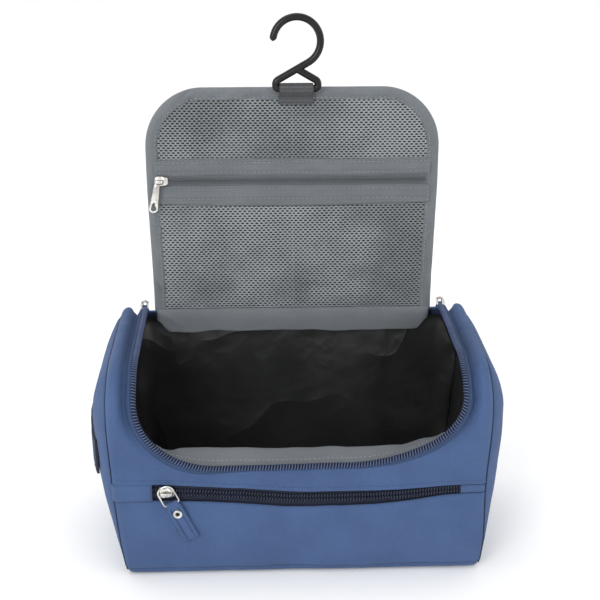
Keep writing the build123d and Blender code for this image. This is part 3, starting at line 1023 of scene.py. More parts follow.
class BAG_OT_stage(PieceOperator):
    """Makes the floor, the soft lights and the camera"""

    bl_idname = "toiletry_bag.stage"
    bl_label = "Stage"

    def build(self, size):
        scene = bpy.context.scene
        floor = bpy.data.meshes.new("floor")
        floor.from_pydata([(-9, -9, 0), (9, -9, 0), (9, 9, 0), (-9, 9, 0)], [], [(0, 1, 2, 3)])
        ground = bpy.data.objects.new("floor", floor)
        ground.data.materials.append(
            surface(
                "pale floor",
                tinted((0.985, 0.985, 0.985), 0.005, 3.0),
                0.9,
                plain_noise(300.0),
                0.00002,
            )
        )
        scene.collection.objects.link(ground)

        world = bpy.data.worlds.new("studio")
        scene.world = world
        world.use_nodes = True
        world.node_tree.nodes["Background"].inputs[0].default_value = (1, 1, 1, 1)
        world.node_tree.nodes["Background"].inputs[1].default_value = 1.0
        scene.view_settings.view_transform = "Standard"
        middle = Vector((0, 0, 0.1))
        lamps = (
            ("key", (-0.9, -1.5, 1.0), 0.8, 12.0),
            ("fill", (1.2, -0.9, 0.9), 1.2, 2.0),
            ("above", (-0.3, 0.4, 1.9), 1.2, 4.0),
        )
        for name, place, width, power in lamps:
            lamp = bpy.data.lights.new(name, "AREA")
            lamp.shape, lamp.size, lamp.energy = "SQUARE", width, power
            made = bpy.data.objects.new(name, lamp)
            made.location = place
            made.rotation_euler = (middle - Vector(place)).to_track_quat("-Z", "Y").to_euler()
            scene.collection.objects.link(made)

        target = Vector(HINGE + np.array([-3.0, 0.0, -2.0])) * MM
        turn, rise, away = radians(size.view_turn), radians(size.view_rise), size.view_distance
        place = target + away * Vector((sin(turn) * cos(rise), -cos(turn) * cos(rise), sin(rise)))
        lens = bpy.data.cameras.new("camera")
        lens.lens, lens.sensor_width = size.view_lens, 36.0
        lens.shift_x, lens.shift_y = 0.018, 0.023
        eye = bpy.data.objects.new("camera", lens)
        eye.location = place
        eye.rotation_euler = (target - place).to_track_quat("-Z", "Y").to_euler()
        scene.collection.objects.link(eye)
        scene.camera = eye


class BAG_OT_outer_cloth(PieceOperator):
    """Makes the blue outer panels, their seams and their stitches"""

    bl_idname = "toiletry_bag.outer_cloth"
    bl_label = "Outer cloth"

    def build(self, size):
        thick, inside = size.cloth_thickness / MM, (0, 0, 70)
        shares = 0.5 - 0.5 * np.cos(np.linspace(0, pi, 24))
        grow = 6.8
        mouth_x, mouth_along, edge_x, edge_along = yoke_lines(grow, seam_half, yoke_bottom)
        narrow = 3.6 * (1 - ease(np.abs(mouth_x), 20, 92)) * (
            mouth_along < MOUTH_LOW + MOUTH_CORNER
        )
        mouth_along = mouth_along + narrow
        x = mouth_x + (edge_x - mouth_x) * shares[:, None]
        along = mouth_along + (edge_along - mouth_along) * shares[:, None]
        hem = 0.5 * bell(along - yoke_bottom(x), 2.2)
        yoke = Shape().grid(skin(x, along, hem), flat_map(x, along))
        for side, limit in ((-1, POCKET_LEFT), (1, POCKET_RIGHT)):
            down = np.linspace(0, 1, 8)[:, None]
            across = np.linspace(0, 1, 12)[None, :]
            top = yoke_bottom(limit + 0 * across)
            z = top + (smooth_line(pocket_bottom, limit + 0 * across) - top) * down
            x = limit + (side * seam_half(z) - limit) * across
            top, bottom = yoke_bottom(x), smooth_line(pocket_bottom, x)
            along = top + (bottom - top) * down
            x = limit + (side * seam_half(along) - limit) * across
            groove = -0.7 * bell(along - top, 1.0)
            yoke.grid(skin(x, along, groove), flat_map(x, along))
        piece = thicken(yoke.make("yoke_cloth", ["blue cloth"], away=inside, merge=0.05), thick)
        settle(piece, "bag", "blue_cloth", "front_panel_upper", "front_foam")
        as_sheet(piece)

        down = np.linspace(0, 1, 30)[:, None]
        across = np.linspace(-1, 1, 121)[None, :]
        across = 0.6 * across + 0.4 * np.sin(across * pi / 2)
        x = across * 120 + 0 * down
        for _ in range(3):
            along = smooth_line(pocket_bottom, x)
            along = along + (BASE_FRONT_SEAM - along) * down
            x = across * seam_half(wrap(along)[1])
        hem = 0.4 * bell(along - smooth_line(pocket_bottom, x), 1.6)
        front = Shape().grid(skin(x, along, hem), flat_map(x, along))
        piece = thicken(front.make("front_cloth", ["blue cloth"], away=inside), thick)
        settle(piece, "bag", "blue_cloth", "front_panel_lower")
        as_sheet(piece)

        along = np.linspace(MOUTH_END, BASE_BACK_SEAM, 66)[:, None]
        x = np.linspace(-1, 1, 105)[None, :] * seam_half(wrap(along)[1])
        back = Shape().grid(skin(x, along + 0 * x), flat_map(x, along + 0 * x))
        piece = thicken(back.make("back_cloth", ["blue cloth"], away=inside), thick)
        settle(piece, "bag", "blue_cloth", "back_panel", "back_foam")
        as_sheet(piece)

        along = np.concatenate(
            [stepped(BASE_FRONT_SEAM, FIRST, 3), stepped(LAST, BASE_BACK_SEAM, 3)]
        )[:, None]
        x = np.linspace(-1, 1, 81)[None, :] * seam_half(wrap(along)[1])
        base = Shape().grid(skin(x, along + 0 * x), flat_map(x, along + 0 * x))
        piece = thicken(base.make("base_cloth", ["blue cloth"], away=inside, merge=0.05), thick)
        settle(piece, "bag", "blue_cloth", "base_panel", "base_board")
        as_sheet(piece)

        loop = np.linspace(FIRST, LAST, 221)
        shares = 1 - np.linspace(0, 1, 24) ** 1.6
        for side, name in ((-1, "left"), (1, "right")):
            grid = np.stack([end_skin(side, np.full(len(loop), s), loop) for s in shares])
            cloth = grid[..., 1:] * MM
            end = Shape().grid(grid, cloth)
            piece = thicken(
                end.make(f"end_cloth_{name}", ["blue cloth"], away=inside, merge=0.02), thick
            )
            settle(piece, "bag", "blue_cloth", f"end_panel_{name}", f"end_foam_{name}")
            as_sheet(piece)

        self.stitch(size)

    def stitch(self, size):
        """The topstitch over the pocket's zip, and a dark thread laid down in each seam as painted shade of
        its groove.
        """
        # Painted shade: thin dark threads in the end seams and along the pocket's seams stand for the shadow
        # in their grooves.
        seams = Shape()
        loop = np.linspace(FIRST, LAST, 500)
        for side in (-1, 1):
            edge = skin(side * seam_half(wrap(loop)[1]), loop, 0.25)
            seams.sweep(edge, oval(0.9, 0.5, 6), (side, 0, 0), ring=True)
        for line, start, stop in (
            (pocket_bottom, -122, 123),
            (pocket_top, -122, POCKET_LEFT),
            (pocket_top, POCKET_RIGHT, 123),
        ):
            x = stepped(start, stop, 1.5)
            along = smooth_line(line, x)
            seams.sweep(skin(x, along - 0.3, 0.05), oval(0.8, 0.5, 6), outward(x, along))
        settle(seams.make("seam_thread", ["navy tape"]), "bag", "blue_cloth")
        x = stepped(-118, 121, 1.5)
        over = yoke_bottom(x) + 2.4
        lines = [(skin(x, over, 0.45), outward(x, over))]
        made = rows("front_topstitch", lines, dash(2.1, 0.45, 0.3), 3.1, "blue thread")
        settle(made, "bag", "blue_cloth")


class BAG_OT_lining(PieceOperator):
    """Makes the black lining and the grey facings inside the mouth"""

    bl_idname = "toiletry_bag.lining"
    bl_label = "Lining"

    def inner_half(self, z):
        return seam_half(z) - 4.6

    def inner(self, x, along):
        """A point of the lining, with its folds, by its place across and along the outline."""
        x, along = np.broadcast_arrays(np.asarray(x, float), np.asarray(along, float))
        y, z, out_y, out_z = wrap(along)
        place = np.stack([x, y, z], -1)
        crease = 1 - np.abs(ripples(place * (1, 1, 0.45), 42, 21, 3)) * 2
        fine = 1 - np.abs(ripples(place * (1, 0.6, 0.8), 19, 23, 2)) * 2
        at_back = ease(y, 30, 58)
        tall = bell(x + 34 - 0.16 * (z - 80), 6) * at_back * ease(z, 20, 60)
        slope = bell(x - 62 + 0.5 * (z - 90), 5) * at_back * ease(-z, -118, -60) * ease(z, 24, 50)
        lean = bell(x + 66 + 0.9 * (z - 100), 4) * at_back * ease(z, 40, 80)
        hidden = ease(from_mouth(x, along), -1, 10)
        deep = 5.0 + (
            2.4 * crease + 1.3 * fine + 1.6 + 6.5 * tall + 5.0 * slope + 4.0 * lean
        ) * hidden
        deep = np.maximum(deep, 4.4)
        return np.stack([x, y - out_y * deep, z - out_z * deep], -1)

    def build(self, size):
        middle = (0, 0, 76)
        level = 62.0
        mouth_x, mouth_along, edge_x, edge_along = yoke_lines(
            0.6, self.inner_half, lambda x: np.full(np.shape(x), level), 3.0
        )
        shares = np.linspace(0, 1, 15)[:, None]
        x = mouth_x + (edge_x - mouth_x) * shares
        along = mouth_along + (edge_along - mouth_along) * shares
        lining = Shape().grid(self.inner(x, along), flat_map(x, along))

        bottom_x = edge_x[np.isclose(edge_along, level)]
        columns = bottom_x / bottom_x[-1]
        rest = np.concatenate([stepped(level, FIRST, 3.5), stepped(LAST, MOUTH_END, 3.5)])[:, None]
        x = columns[None, :] * self.inner_half(wrap(rest)[1])
        lining.grid(self.inner(x, rest + 0 * x), flat_map(x, rest + 0 * x))
        side = edge_along[: np.argmax(np.isclose(edge_along, level)) + 1]
        loop = np.concatenate([side, rest[1:, 0]])
        centre = np.array([0, 0, 66.0])
        for sign in (-1, 1):
            edge = self.inner(sign * self.inner_half(wrap(loop)[1]), loop)
            rings = []
            for share in np.linspace(1, 0, 20):
                flat = centre + (edge - centre) * share
                flat[:, 0] = sign * self.inner_half(flat[:, 2])
                fold = 1.5 * ripples(flat * (1, 1, 0.6), 34, 25, 3) + 2.2 * bell(flat[:, 1] - 24, 5)
                flat[:, 0] -= sign * (np.abs(fold) + 0.4) * (1 - share**4)
                rings.append(flat)
            grid = np.stack(rings)
            grid[0] = edge
            lining.grid(grid, grid[..., 1:] * MM)
        piece = lining.make("bag_lining", ["black lining"], away=middle, merge=0.05)
        piece.data.flip_normals()
        soften(piece)
        settle(
            piece, "bag", "black_lining", "lining_front", "lining_back", "lining_floor",
            "end_lining_left", "end_lining_right", "pocket_bag",
        )
        as_sheet(piece, layers=1)
        self.front_facing(size)
        self.hinge_facing(size)

    def front_facing(self, size):
        """The facing of grey cloth, darkened as painted shade, that rolls inwards behind the front of the zip.
        """
        reach = 93.0
        x = stepped(-reach, reach, 2.0)[None, :]
        share = np.linspace(0, 1, 22)[:, None]
        start = skin(x, mouth_height(x) + 0.2, -0.6)
        wave = ripples(np.stack([x, 0 * x, 0 * x], -1), 40, 31)
        crest_z = np.maximum(
            90.5 + 3.2 * (np.abs(x) / reach) ** 3 + 1.2 * wave, start[..., 2] + 1.0
        )
        crest_y = FRONT + 12.5 - 5.5 * (np.abs(x) / reach) ** 4 + 1.3 * ripples(
            np.stack([x, 0 * x + 9, 0 * x], -1), 30, 32
        )
        tuck = ease(np.abs(x), 78, reach)
        crest_z = crest_z + (start[..., 2] - 1.2 - crest_z) * tuck
        crest_y = crest_y + (start[..., 1] + 3.0 - crest_y) * tuck
        foot_y, foot_z = FRONT + 5.6, 66.0
        rise = ease(share, 0, 0.6)
        fall = ease(share, 0.55, 1)
        y = start[..., 1] + (
            crest_y - start[..., 1]
        ) * np.clip(share / 0.6, 0, 1) + (foot_y - crest_y) * fall
        z = start[..., 2] + (crest_z - start[..., 2]) * rise + (foot_z - crest_z) * np.clip(
            (share - 0.6) / 0.4, 0, 1
        ) ** 1.3
        y = y + 0 * x
        y = y + 0.5 * ripples(
            np.stack([x + 0 * share, 18 * share + 0 * x, 0 * y], -1), 14, 33
        ) * (share > 0.05)
        points = np.stack([x + 0 * share, y, z + 0 * y], -1)
        cloth = np.stack([x + 0 * share, 30 * share + 0 * x], -1) * MM
        facing = Shape().grid(points, cloth)
        # The roll takes the grey cloth darkened as painted shade.
        piece = facing.make("front_facing_roll", ["grey facing in painted shade"], away=(0, -50, 70))
        thicken(soften(piece), 0.6)
        settle(piece, "bag", "grey_lining", "front_facing")
        as_sheet(piece)
        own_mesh(piece)
        line = points[4]
        made = rows(
            "facing_stitch",
            [(line + (0, -0.2, 0.35), (0, -0.5, 0.85))],
            dash(2.0, 0.5, 0.4),
            3.0,
            "grey thread",
        )
        settle(made, "bag", "grey_lining")
        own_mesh(made)

    def hinge_facing(self, size):
        """The plain grey cloth below the net that runs down over the hinge into the bag."""
        half = LID_HALF - 1
        x = stepped(-half, half, 2.5)[None, :]
        share = np.linspace(0, 1, 26)[:, None]
        along = 4.2 - 17.5 * share * (1 - 0.5 * ease(np.abs(x), 93, half))
        sag = ripples(np.stack([x, 0 * x, 0 * x], -1), 34, 41) * 1.6 * share
        along = along + sag * 1.2
        inward = 3.6 + 2.0 * np.sin(pi * share ** 0.6) + 1.2 * share + 0 * x
        pucker = ripples(
            np.stack([x + along * 1.4, along * 0.4, 0 * along], -1), 9, 42
        ) * ease(-x, 60, 98)
        inward = inward + 0.9 * pucker * np.sin(pi * share) + 0.5 * lid_wave(
            x + 0 * share, along, 43, 24, 1.0
        )
        local = np.stack([x + 0 * share, along, inward], -1)
        facing = Shape().grid(lid_world(local), np.stack([x + 0 * share, along], -1) * MM)
        piece = facing.make("hinge_facing", ["grey cloth"], away=(0, 200, 140))
        thicken(piece, 0.5)
        bend(piece, "bag", "lid_rear", HINGE_START, HINGE_STOP, "grey_lining", "back_facing")
        as_sheet(piece)


class BAG_OT_main_zip(PieceOperator):
    """Makes the open main zip's body half, its two sliders and their pulls"""

    bl_idname = "toiletry_bag.main_zip"
    bl_label = "Main zip"

    def build(self, size):
        grows = np.array([-0.3, 0.6, 2.2, 2.7, 3.6, 4.8, 6.0, 7.2, 8.2])
        lifts = np.array([-0.3, 0.0, 0.2, 1.0, 1.7, 1.5, 0.8, -0.1, -0.8])
        lines = []
        for grow, lift in zip(grows, lifts):
            x, along = mouth_line(grow)
            slim = (1 - ease(np.abs(x), 20, 92)) * (along < MOUTH_LOW + MOUTH_CORNER)
            along = along + np.maximum(grow - 2.6, 0) * 0.62 * slim
            lines.append(skin(x, along, lift - 0.9 * slim * (grow > 2.5)))
        grid = np.stack(lines)
        far = np.concatenate([[0], np.cumsum(np.linalg.norm(np.diff(grid[3], axis=0), axis=1))])
        cloth = np.stack(np.broadcast_arrays(grows[:, None], far[None, :]), -1) * MM
        # The strip from 2.2 mm outwards takes the darkened blue tape, painted shade of the fold beside the
        # coil.
        tape = Shape().grid(grid[:3], cloth[:3], 1).grid(grid[2:], cloth[2:])
        tape = tape.make("main_zip_tape_cloth", ["blue tape in painted shade", "navy tape"], away=(0, 0, 70))
        thicken(tape, 0.8)
        settle(tape, "bag", "navy_tape", "main_zip_tape")
        as_sheet(tape)

        x, along = mouth_line(1.1)
        guide, beside = skin(x, along, 0.7), skin(*mouth_line(3.1), 0.7)
        away = (beside - guide) / np.linalg.norm(beside - guide, axis=1, keepdims=True)
        teeth = rows(
            "main_zip_teeth", [(guide, outward(x, along) - 0.75 * away)],
            tooth(3.4, 1.4, 0.9, 0.4), size.tooth_pitch / MM, "blue coil",
        )
        settle(teeth, "bag", "blue_zip", "main_zip_coil")

        for side, name in ((-1, "left"), (1, "right")):
            node = f"main_slider_{name}"
            spot, far_spot = low(node), high(node)
            x = (spot[0] + far_spot[0]) / 2
            top = far_spot[2]
            y = MOUTH_BACK - 2.6
            shape = zip_slider(9.0, 6.4, 2.4)
            place = Matrix.Translation(
                Vector((x, y, top - 4.0)) * MM
            ) @ Matrix.Rotation(pi / 2, 4, "Z")
            loop_y = joint(f"main_pull_{name}_lift")[1]
            eye_z = joint(f"main_pull_{name}_lift")[2]
            bridge = [
                (x - 2.4, y + 3, eye_z - 3), (x - 2.4, loop_y, eye_z), (x + 2.4, loop_y, eye_z),
                (x + 2.4, y + 3, eye_z - 3),
            ]
            wire = evenly(np.array(bridge), 0.8)
            body = shape.make(f"main_slider_body_{name}", ["nickel"], place=place)
            hoop = Shape().sweep(wire, oval(1.3, 1.3, 8), (0, 0, 1)).make(
                f"main_slider_hoop_{name}", ["nickel"]
            )
            for part in (body, hoop):
                settle(part, "bag", "nickel")
            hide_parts(node)
            eye = Vector((x, loop_y, eye_z)) * MM
            turn = Matrix.Translation(eye) @ Matrix.Rotation(pi / 2, 4, "X")
            turn = turn @ Matrix.Rotation(pi, 4, "Y")
            link = rounded_path(
                [
                    (0, 0.9, 0),
                    (-1.5, 0.9, 0),
                    (-1.5, -4.4, 0),
                    (1.5, -4.4, 0),
                    (1.5, 0.9, 0),
                    (0, 0.9, 0),
                ],
                [0.8, 0.8, 0.8, 0.8], 0.4,
            )[:-1]
            tab = cloth_tab(8.0, 4.4, 24.0, 2.4, -3.0)
            tab.sweep(link, oval(0.9, 0.9, 8), (0, 0, 1), ring=True, slot=1)
            tab = tab.make(f"main_pull_tab_{name}", ["blue cloth", "nickel"], place=turn)
            settle(tab, f"main_pull_{name}_body", "blue_cloth", f"main_pull_{name}")


def zip_slider(length, width, height):
    """A domed slider body with a shoulder at its wide end, along X with its top upwards."""
    u = np.linspace(-1, 1, 19)[:, None]
    v = np.linspace(-1, 1, 17)[None, :]
    half = width / 2 * (1 - 0.16 * ease(u, -0.2, 1)) * (1 - np.abs(u) ** 5) ** 0.22
    x = length / 2 * u + 0 * v
    y = half * v
    dome = (1 - np.abs(v) ** 3.2) ** 0.5 * (1 - np.abs(u) ** 4) ** 0.4
    waist = 1 - 0.28 * bell(u - 0.05, 0.16)
    z = height * (0.32 + 0.68 * dome * waist)
    under = np.stack([x, y, 0 * x], -1)
    upper = np.stack([x, y, z], -1)
    return Shape().slab(upper, under)


def cloth_tab(width, neck, length, thickness, start=1.6):
    """A folded cloth pull with raised edges, hanging towards -Y from its eye at the origin."""
    v = np.linspace(0, 1, 34)[:, None]
    u = np.linspace(-1, 1, 25)[None, :]
    y = start - (length + 11.0) * v
    spread = neck + (width - neck) * ease(v, 0.02, 0.2)
    x = spread / 2 * u
    ridge = bell(np.abs(u) - 0.78, 0.17) * 0.55 - bell(np.abs(u) - 0.52, 0.1) * 0.3
    swell = thickness / 2 * (1 - np.abs(u) ** 8) ** 0.5 * (0.62 + ridge * ease(v, 0.12, 0.2))
    swell = swell * (1 + 0.5 * bell(v, 0.07)) * (1 - v**24) ** 0.5
    bow = 0.35 * np.sin(v * 5 + 1) * ease(v, 0.2, 0.5)
    upper = np.stack([x, y + 0 * x, swell + bow], -1)
    under = np.stack([x, y + 0 * x, -swell * 0.8 + bow], -1)
    cloth = np.stack([x, y + 0 * x], -1) * MM
    return Shape().slab(upper, under, cloth)


class BAG_OT_pocket_zip(PieceOperator):
    """Makes the front pocket's zip with its slider, ring, cloth tab and eyelet"""

    bl_idname = "toiletry_bag.pocket_zip"
    bl_label = "Front pocket zip"

    def build(self, size):
        x = stepped(POCKET_LEFT - 1.0, POCKET_RIGHT + 1.0, 1.5)[None, :]
        share = np.linspace(-0.12, 1.12, 9)[:, None]
        top, bottom = yoke_bottom(x), smooth_line(pocket_bottom, x)
        along = top + (bottom - top) * share
        tape = Shape().grid(skin(x + 0 * share, along, -1.5), flat_map(x + 0 * share, along))
        piece = thicken(tape.make("pocket_zip_tape_cloth", ["navy tape"], away=(0, 0, 70)), 0.6)
        settle(piece, "bag", "navy_tape", "pocket_zip_tape")
        as_sheet(piece)
        line = stepped(POCKET_LEFT + 0.5, POCKET_RIGHT - 0.5, 1.5)
        middle = (yoke_bottom(line) + smooth_line(pocket_bottom, line)) / 2
        lines = [
            (skin(line, middle + shift, -1.3), outward(line, middle)) for shift in (1.55, -1.55)
        ]
        teeth = rows(
            "pocket_zip_teeth", lines, tooth(
                2.7, 1.25, 0.95, 0.45
            ), size.tooth_pitch / MM, "navy coil"
        )
        settle(teeth, "bag", "navy_zip", "pocket_zip_coil")

        spot, far_spot = low("pocket_slider"), high("pocket_slider")
        centre = (spot + far_spot) / 2
        ring_place = joint("pocket_ring_swing")
        back = far_spot[1]
        face = Matrix(((1, 0, 0, 0), (0, 0, -1, 0), (0, 1, 0, 0), (0, 0, 0, 1)))
        place = Matrix.Translation(Vector((centre[0], back + 0.6, centre[2])) * MM) @ face
        slider = zip_slider(11.6, 8.6, 3.2)
        crown = rounded_path(
            [(-4.4, 0, 2.2), (-3.2, 0, 4.6), (3.0, 0, 4.6), (4.2, 0, 2.2)], [1.2, 1.2], 0.5
        )
        slider.sweep(crown, oval(2.6, 1.1, 8, 3), (0, 0, 1), caps=True)
        body = slider.make("pocket_slider_body_piece", ["nickel"], place=place)
        settle(body, "pocket_slider_body", "nickel", "pocket_slider")

        hang = joint("pocket_tab_lift") - ring_place
        turn = atan2(hang[0], -hang[2])
        reach = hypot(hang[0], hang[2])
        lift = back - joint("pocket_tab_lift")[1]
        hanging = Matrix.Translation(Vector((centre[0], back - lift, centre[2])) * MM) @ face
        hanging = hanging @ Matrix.Rotation(turn, 4, "Z")
        across = 5.3
        ring = rounded_path(
            [(0, across, 0), (-across, across, 0), (-across, -reach, 0), (across, -reach, 0),
             (across, across, 0), (0, across, 0)],
            [4.6, 1.6, 1.6, 4.6], 0.6,
        )[:-1]
        hoop = Shape().sweep(ring, oval(1.25, 1.25, 8), (0, 0, 1), ring=True)
        settle(
            hoop.make("pocket_ring_wire", ["nickel"], place=hanging),
            "pocket_ring_body",
            "nickel",
            "pocket_ring",
        )
        eye = hanging @ Matrix.Translation(Vector((0, -reach, 0)) * MM)
        tab = cloth_tab(10.6, 8.4, 20.5, 3.4).make("pocket_pull_tab", ["blue cloth"], place=eye)
        settle(tab, "pocket_tab_body", "blue_cloth", "pocket_tab")
        turns = np.linspace(0, 2 * pi, 29)[:-1]
        circle = np.stack([2.25 * np.cos(turns), 2.25 * np.sin(turns), 0 * turns], -1)
        rivet_place = eye @ Matrix.Translation(Vector((0, -8.0, 1.35)) * MM)
        rivet = Shape().sweep(circle, oval(1.9, 0.9, 8), (0, 0, 1), ring=True)
        hole = np.stack([circle * 0.72 - (0, 0, 0.1), circle * 0.0 - (0, 0, 0.1)])
        rivet.grid(hole, None, 1, ring=True)
        eyelet = rivet.make("pocket_eyelet", ["nickel", "black plastic"], place=rivet_place)
        settle(eyelet, "pocket_tab_body", "nickel", "pocket_rivet")


class BAG_OT_side_handle(PieceOperator):
    """Makes the webbing handle on the left end"""

    bl_idname = "toiletry_bag.side_handle"
    bl_label = "Side handle"

    def build(self, size):
        lo, hi = low("side_handle"), high("side_handle")
        middle_z, half = (lo[2] + hi[2]) / 2, (hi[1] - lo[1]) / 2
        v = stepped(-half, half, 1.5)[:, None]
        u = np.linspace(-1, 1, 13)[None, :]
        width = size.webbing_width / MM
        z = middle_z + u * width / 2 + 0 * v
        reach = np.zeros_like(z)
        loop = np.linspace(FIRST, LAST, 241)
        shares = np.linspace(0, 1, 40)
        panel = np.concatenate([end_skin(-1, np.full(len(loop), s), loop) for s in shares])
        for i in range(z.shape[0]):
            for j in range(z.shape[1]):
                far = (panel[:, 1] - v[i, 0]) ** 2 + (panel[:, 2] - z[i, j]) ** 2
                reach[i, j] = panel[np.argpartition(far, 6)[:6], 0].mean()
        smooth = reach.mean(axis=1, keepdims=True)
        reach = np.minimum(reach, smooth) * 0.3 + smooth * 0.7
        bow = 3.6 * np.cos(np.clip(v / (half - 9), -1, 1) * pi / 2) ** 2
        outer = reach - 1.9 - bow - 0.25 * (1 - u**6)
        inner = reach - 0.3 - bow * 0.9
        y = v + 0 * u
        cloth = np.stack([z, y], -1) * MM
        strap = Shape().slab(np.stack([outer, y, z], -1), np.stack([inner, y, z], -1), cloth)
        settle(
            strap.make("side_handle_webbing", ["navy webbing"]),
            "bag",
            "navy_webbing",
            "side_handle",
        )
        lines = []
        out = (-1, 0, 0)
        for end in (-1, 1):
            for near in (2.0, 8.0):
                zs = stepped(middle_z - width / 2 + 2, middle_z + width / 2 - 2, 1.0)
                ys = end * (half - near) + 0 * zs
                xs = np.interp(ys, v[:, 0], outer.mean(1))
                lines.append((np.stack([xs, ys, zs], -1), out))
        made = rows("handle_stitch", lines, dash(2.2, 0.6, 0.4), 3.0, "blue thread")
        settle(made, "bag", "navy_webbing")


class BAG_OT_lid(PieceOperator):
    """Makes the padded lid, its binding, its half of the main zip and the cloth of its hinge"""

    bl_idname = "toiletry_bag.lid"
    bl_label = "Lid"

    def build(self, size):
        v = np.linspace(LID_START + 0.4, LID_LENGTH - 1.6, 84)[:, None]
        u = np.linspace(-1, 1, 71)[None, :]
        x = u * (lid_half_at(v, 0) - 1.5)
        along = v + 0 * u
        near_edge = (1 - np.abs(u) ** 12) ** 0.5 * np.clip((LID_LENGTH - 1 - v) / 4, 0, 1) ** 0.5
        swell = 0.9 + 1.35 * near_edge
        soft_back = lid_wave(x, along, 51, 52, 0.7) - 0.5 * bell(along - FOLD, 3)
        upper = lid_world(np.stack([x, along, swell + 0.0 * x], -1))
        under = lid_world(np.stack([x, along, -swell - soft_back * near_edge * 0.6], -1))
        cloth = np.stack([x, along], -1) * MM
        # The inside face takes the lid's grey lining, darkened as painted shade; the outside the blue cloth.
        lid = Shape().slab(upper, under, cloth, 1, 0)
        piece = lid.make("lid_pad", ["blue cloth", "grey lining in painted shade"])
        bend(
            piece, "lid_rear", "lid_front", FOLD_START, FOLD_STOP, "blue_cloth",
            "lid_skin_rear", "lid_skin_front", "lid_foam_rear", "lid_foam_front",
            "lid_lining_rear", "lid_lining_front",
        )
        self.binding(size)
        self.edge_zip(size)
        self.hinge(size)

    def binding(self, size):
        section = np.array([
            (7.4, 2.2), (7.2, 2.75), (6.6, 3.05), (5.2, 3.3), (3.6, 3.4), (2.0, 3.2), (0.6, 2.6), (-0.3, 1.4),
            (-0.5, 0.0), (-0.3, -1.4), (0.6, -2.5), (2.0, -3.0), (4.4, -3.1), (6.6, -2.95), (7.3, -2.5),
        ])
        lines = []
        for inset, inward in section:
            ring_x, ring_along = lid_ring(inset, 1.6, LID_START - 5.0)
            lines.append(np.stack([ring_x, ring_along, np.full(len(ring_x), inward)], -1))
        grid = np.stack(lines)
        far = np.concatenate([[0], np.cumsum(np.linalg.norm(np.diff(grid[8], axis=0), axis=1))])
        place = np.stack(
            np.broadcast_arrays(far[None, :] * 1.0, section[:, :1] * 2.2, section[:, 1:]), -1
        )
        pucker = ripples(place, 13, 61) * 0.95 + ripples(place * (1, 0.5, 1), 5.5, 62, 1) * 0.4
        inner_side = ease(section[:, 1:], -1, 2)
        corner = bell(far[None, :] - 172, 5) * 1.3 + bell(far[None, :] - 20, 6) * 0.9
        lift = (
            pucker + corner * np.sin(place[..., 1] * 0.5 + far[None, :] * 0.35)
        ) * (0.35 + 0.65 * inner_side)
        grid[..., 2] += lift
        cloth = np.stack(np.broadcast_arrays(section[:, :1], far[None, :]), -1) * MM
        band = Shape().grid(lid_world(grid), cloth)
        piece = band.make("lid_binding_cloth", ["grey cloth"], away=lid_world(np.array([0, 85, 0])))
        thicken(piece, 0.5, 1.0)
        bend(
            piece, "lid_rear", "lid_front", FOLD_START, FOLD_STOP, "grey_lining",
            "lid_binding_rear", "lid_binding_front",
        )
        as_sheet(piece)
        ring_x, ring_along = lid_ring(6.0, 1.6, LID_START - 1)
        line = lid_world(np.stack([ring_x, ring_along, np.full(len(ring_x), 3.75)], -1))
        made = rows("binding_stitch", [(line, LID_OUT)], dash(2.0, 0.5, 0.5), 3.1, "grey thread")
        bend(made, "lid_rear", "lid_front", FOLD_START, FOLD_STOP, "grey_lining")

    def edge_zip(self, size):
        lines = []
        insets = np.array([0.3, 2.6, 4.6, 6.8])
        for inset, inward in zip(insets, (-3.75, -3.9, -3.85, -3.6)):
            ring_x, ring_along = lid_ring(inset, 2.0, LID_START)
            lines.append(np.stack([ring_x, ring_along, np.full(len(ring_x), inward)], -1))
        grid = np.stack(lines)
        far = np.concatenate([[0], np.cumsum(np.linalg.norm(np.diff(grid[1], axis=0), axis=1))])
        cloth = np.stack(np.broadcast_arrays(insets[:, None], far[None, :]), -1) * MM
        tape = Shape().grid(lid_world(grid), cloth)
        piece = tape.make(
            "lid_zip_tape_cloth", ["blue tape in painted shade"], away=lid_world(np.array([0, 85, 20]))
        )
        thicken(piece, 0.5, 1.0)
        bend(
            piece, "lid_rear", "lid_front", FOLD_START, FOLD_STOP, "navy_tape",
            "lid_zip_tape_rear", "lid_zip_tape_front",
        )
        as_sheet(piece)
        ring_x, ring_along = lid_ring(1.3, 1.0, LID_START)
        guide = lid_world(np.stack([ring_x, ring_along, np.full(len(ring_x), -3.9)], -1))
        teeth = rows(
            "lid_zip_teeth", [(guide, -LID_OUT)], tooth(2.9, 1.2, 1.0, 0.4), size.tooth_pitch / MM, "blue coil"
        )
        bend(
            teeth, "lid_rear", "lid_front", FOLD_START, FOLD_STOP, "blue_zip",
            "lid_zip_coil_rear", "lid_zip_coil_front",
        )

    def hinge(self, size):
        half = LID_HALF - 1
        x = stepped(-half, half, 3.0)[None, :]
        share = np.linspace(0, 1, 16)[:, None]
        along = -12.0 + 22.0 * share + 0 * x
        inward = -4.2 - 0.5 * np.sin(pi * share) + 0.3 * lid_wave(x + 0 * share, along, 45, 20, 1.0)
        strip = Shape().grid(
            lid_world(
                np.stack([x + 0 * share, along, inward], -1)
            ), np.stack([x + 0 * share, along], -1) * MM
        )
        piece = strip.make("hinge_cloth", ["blue cloth"], away=(0, 0, 140))
        thicken(piece, 0.9)
        bend(piece, "bag", "lid_rear", HINGE_START, HINGE_STOP, "blue_cloth", "hinge_strip")
        as_sheet(piece)


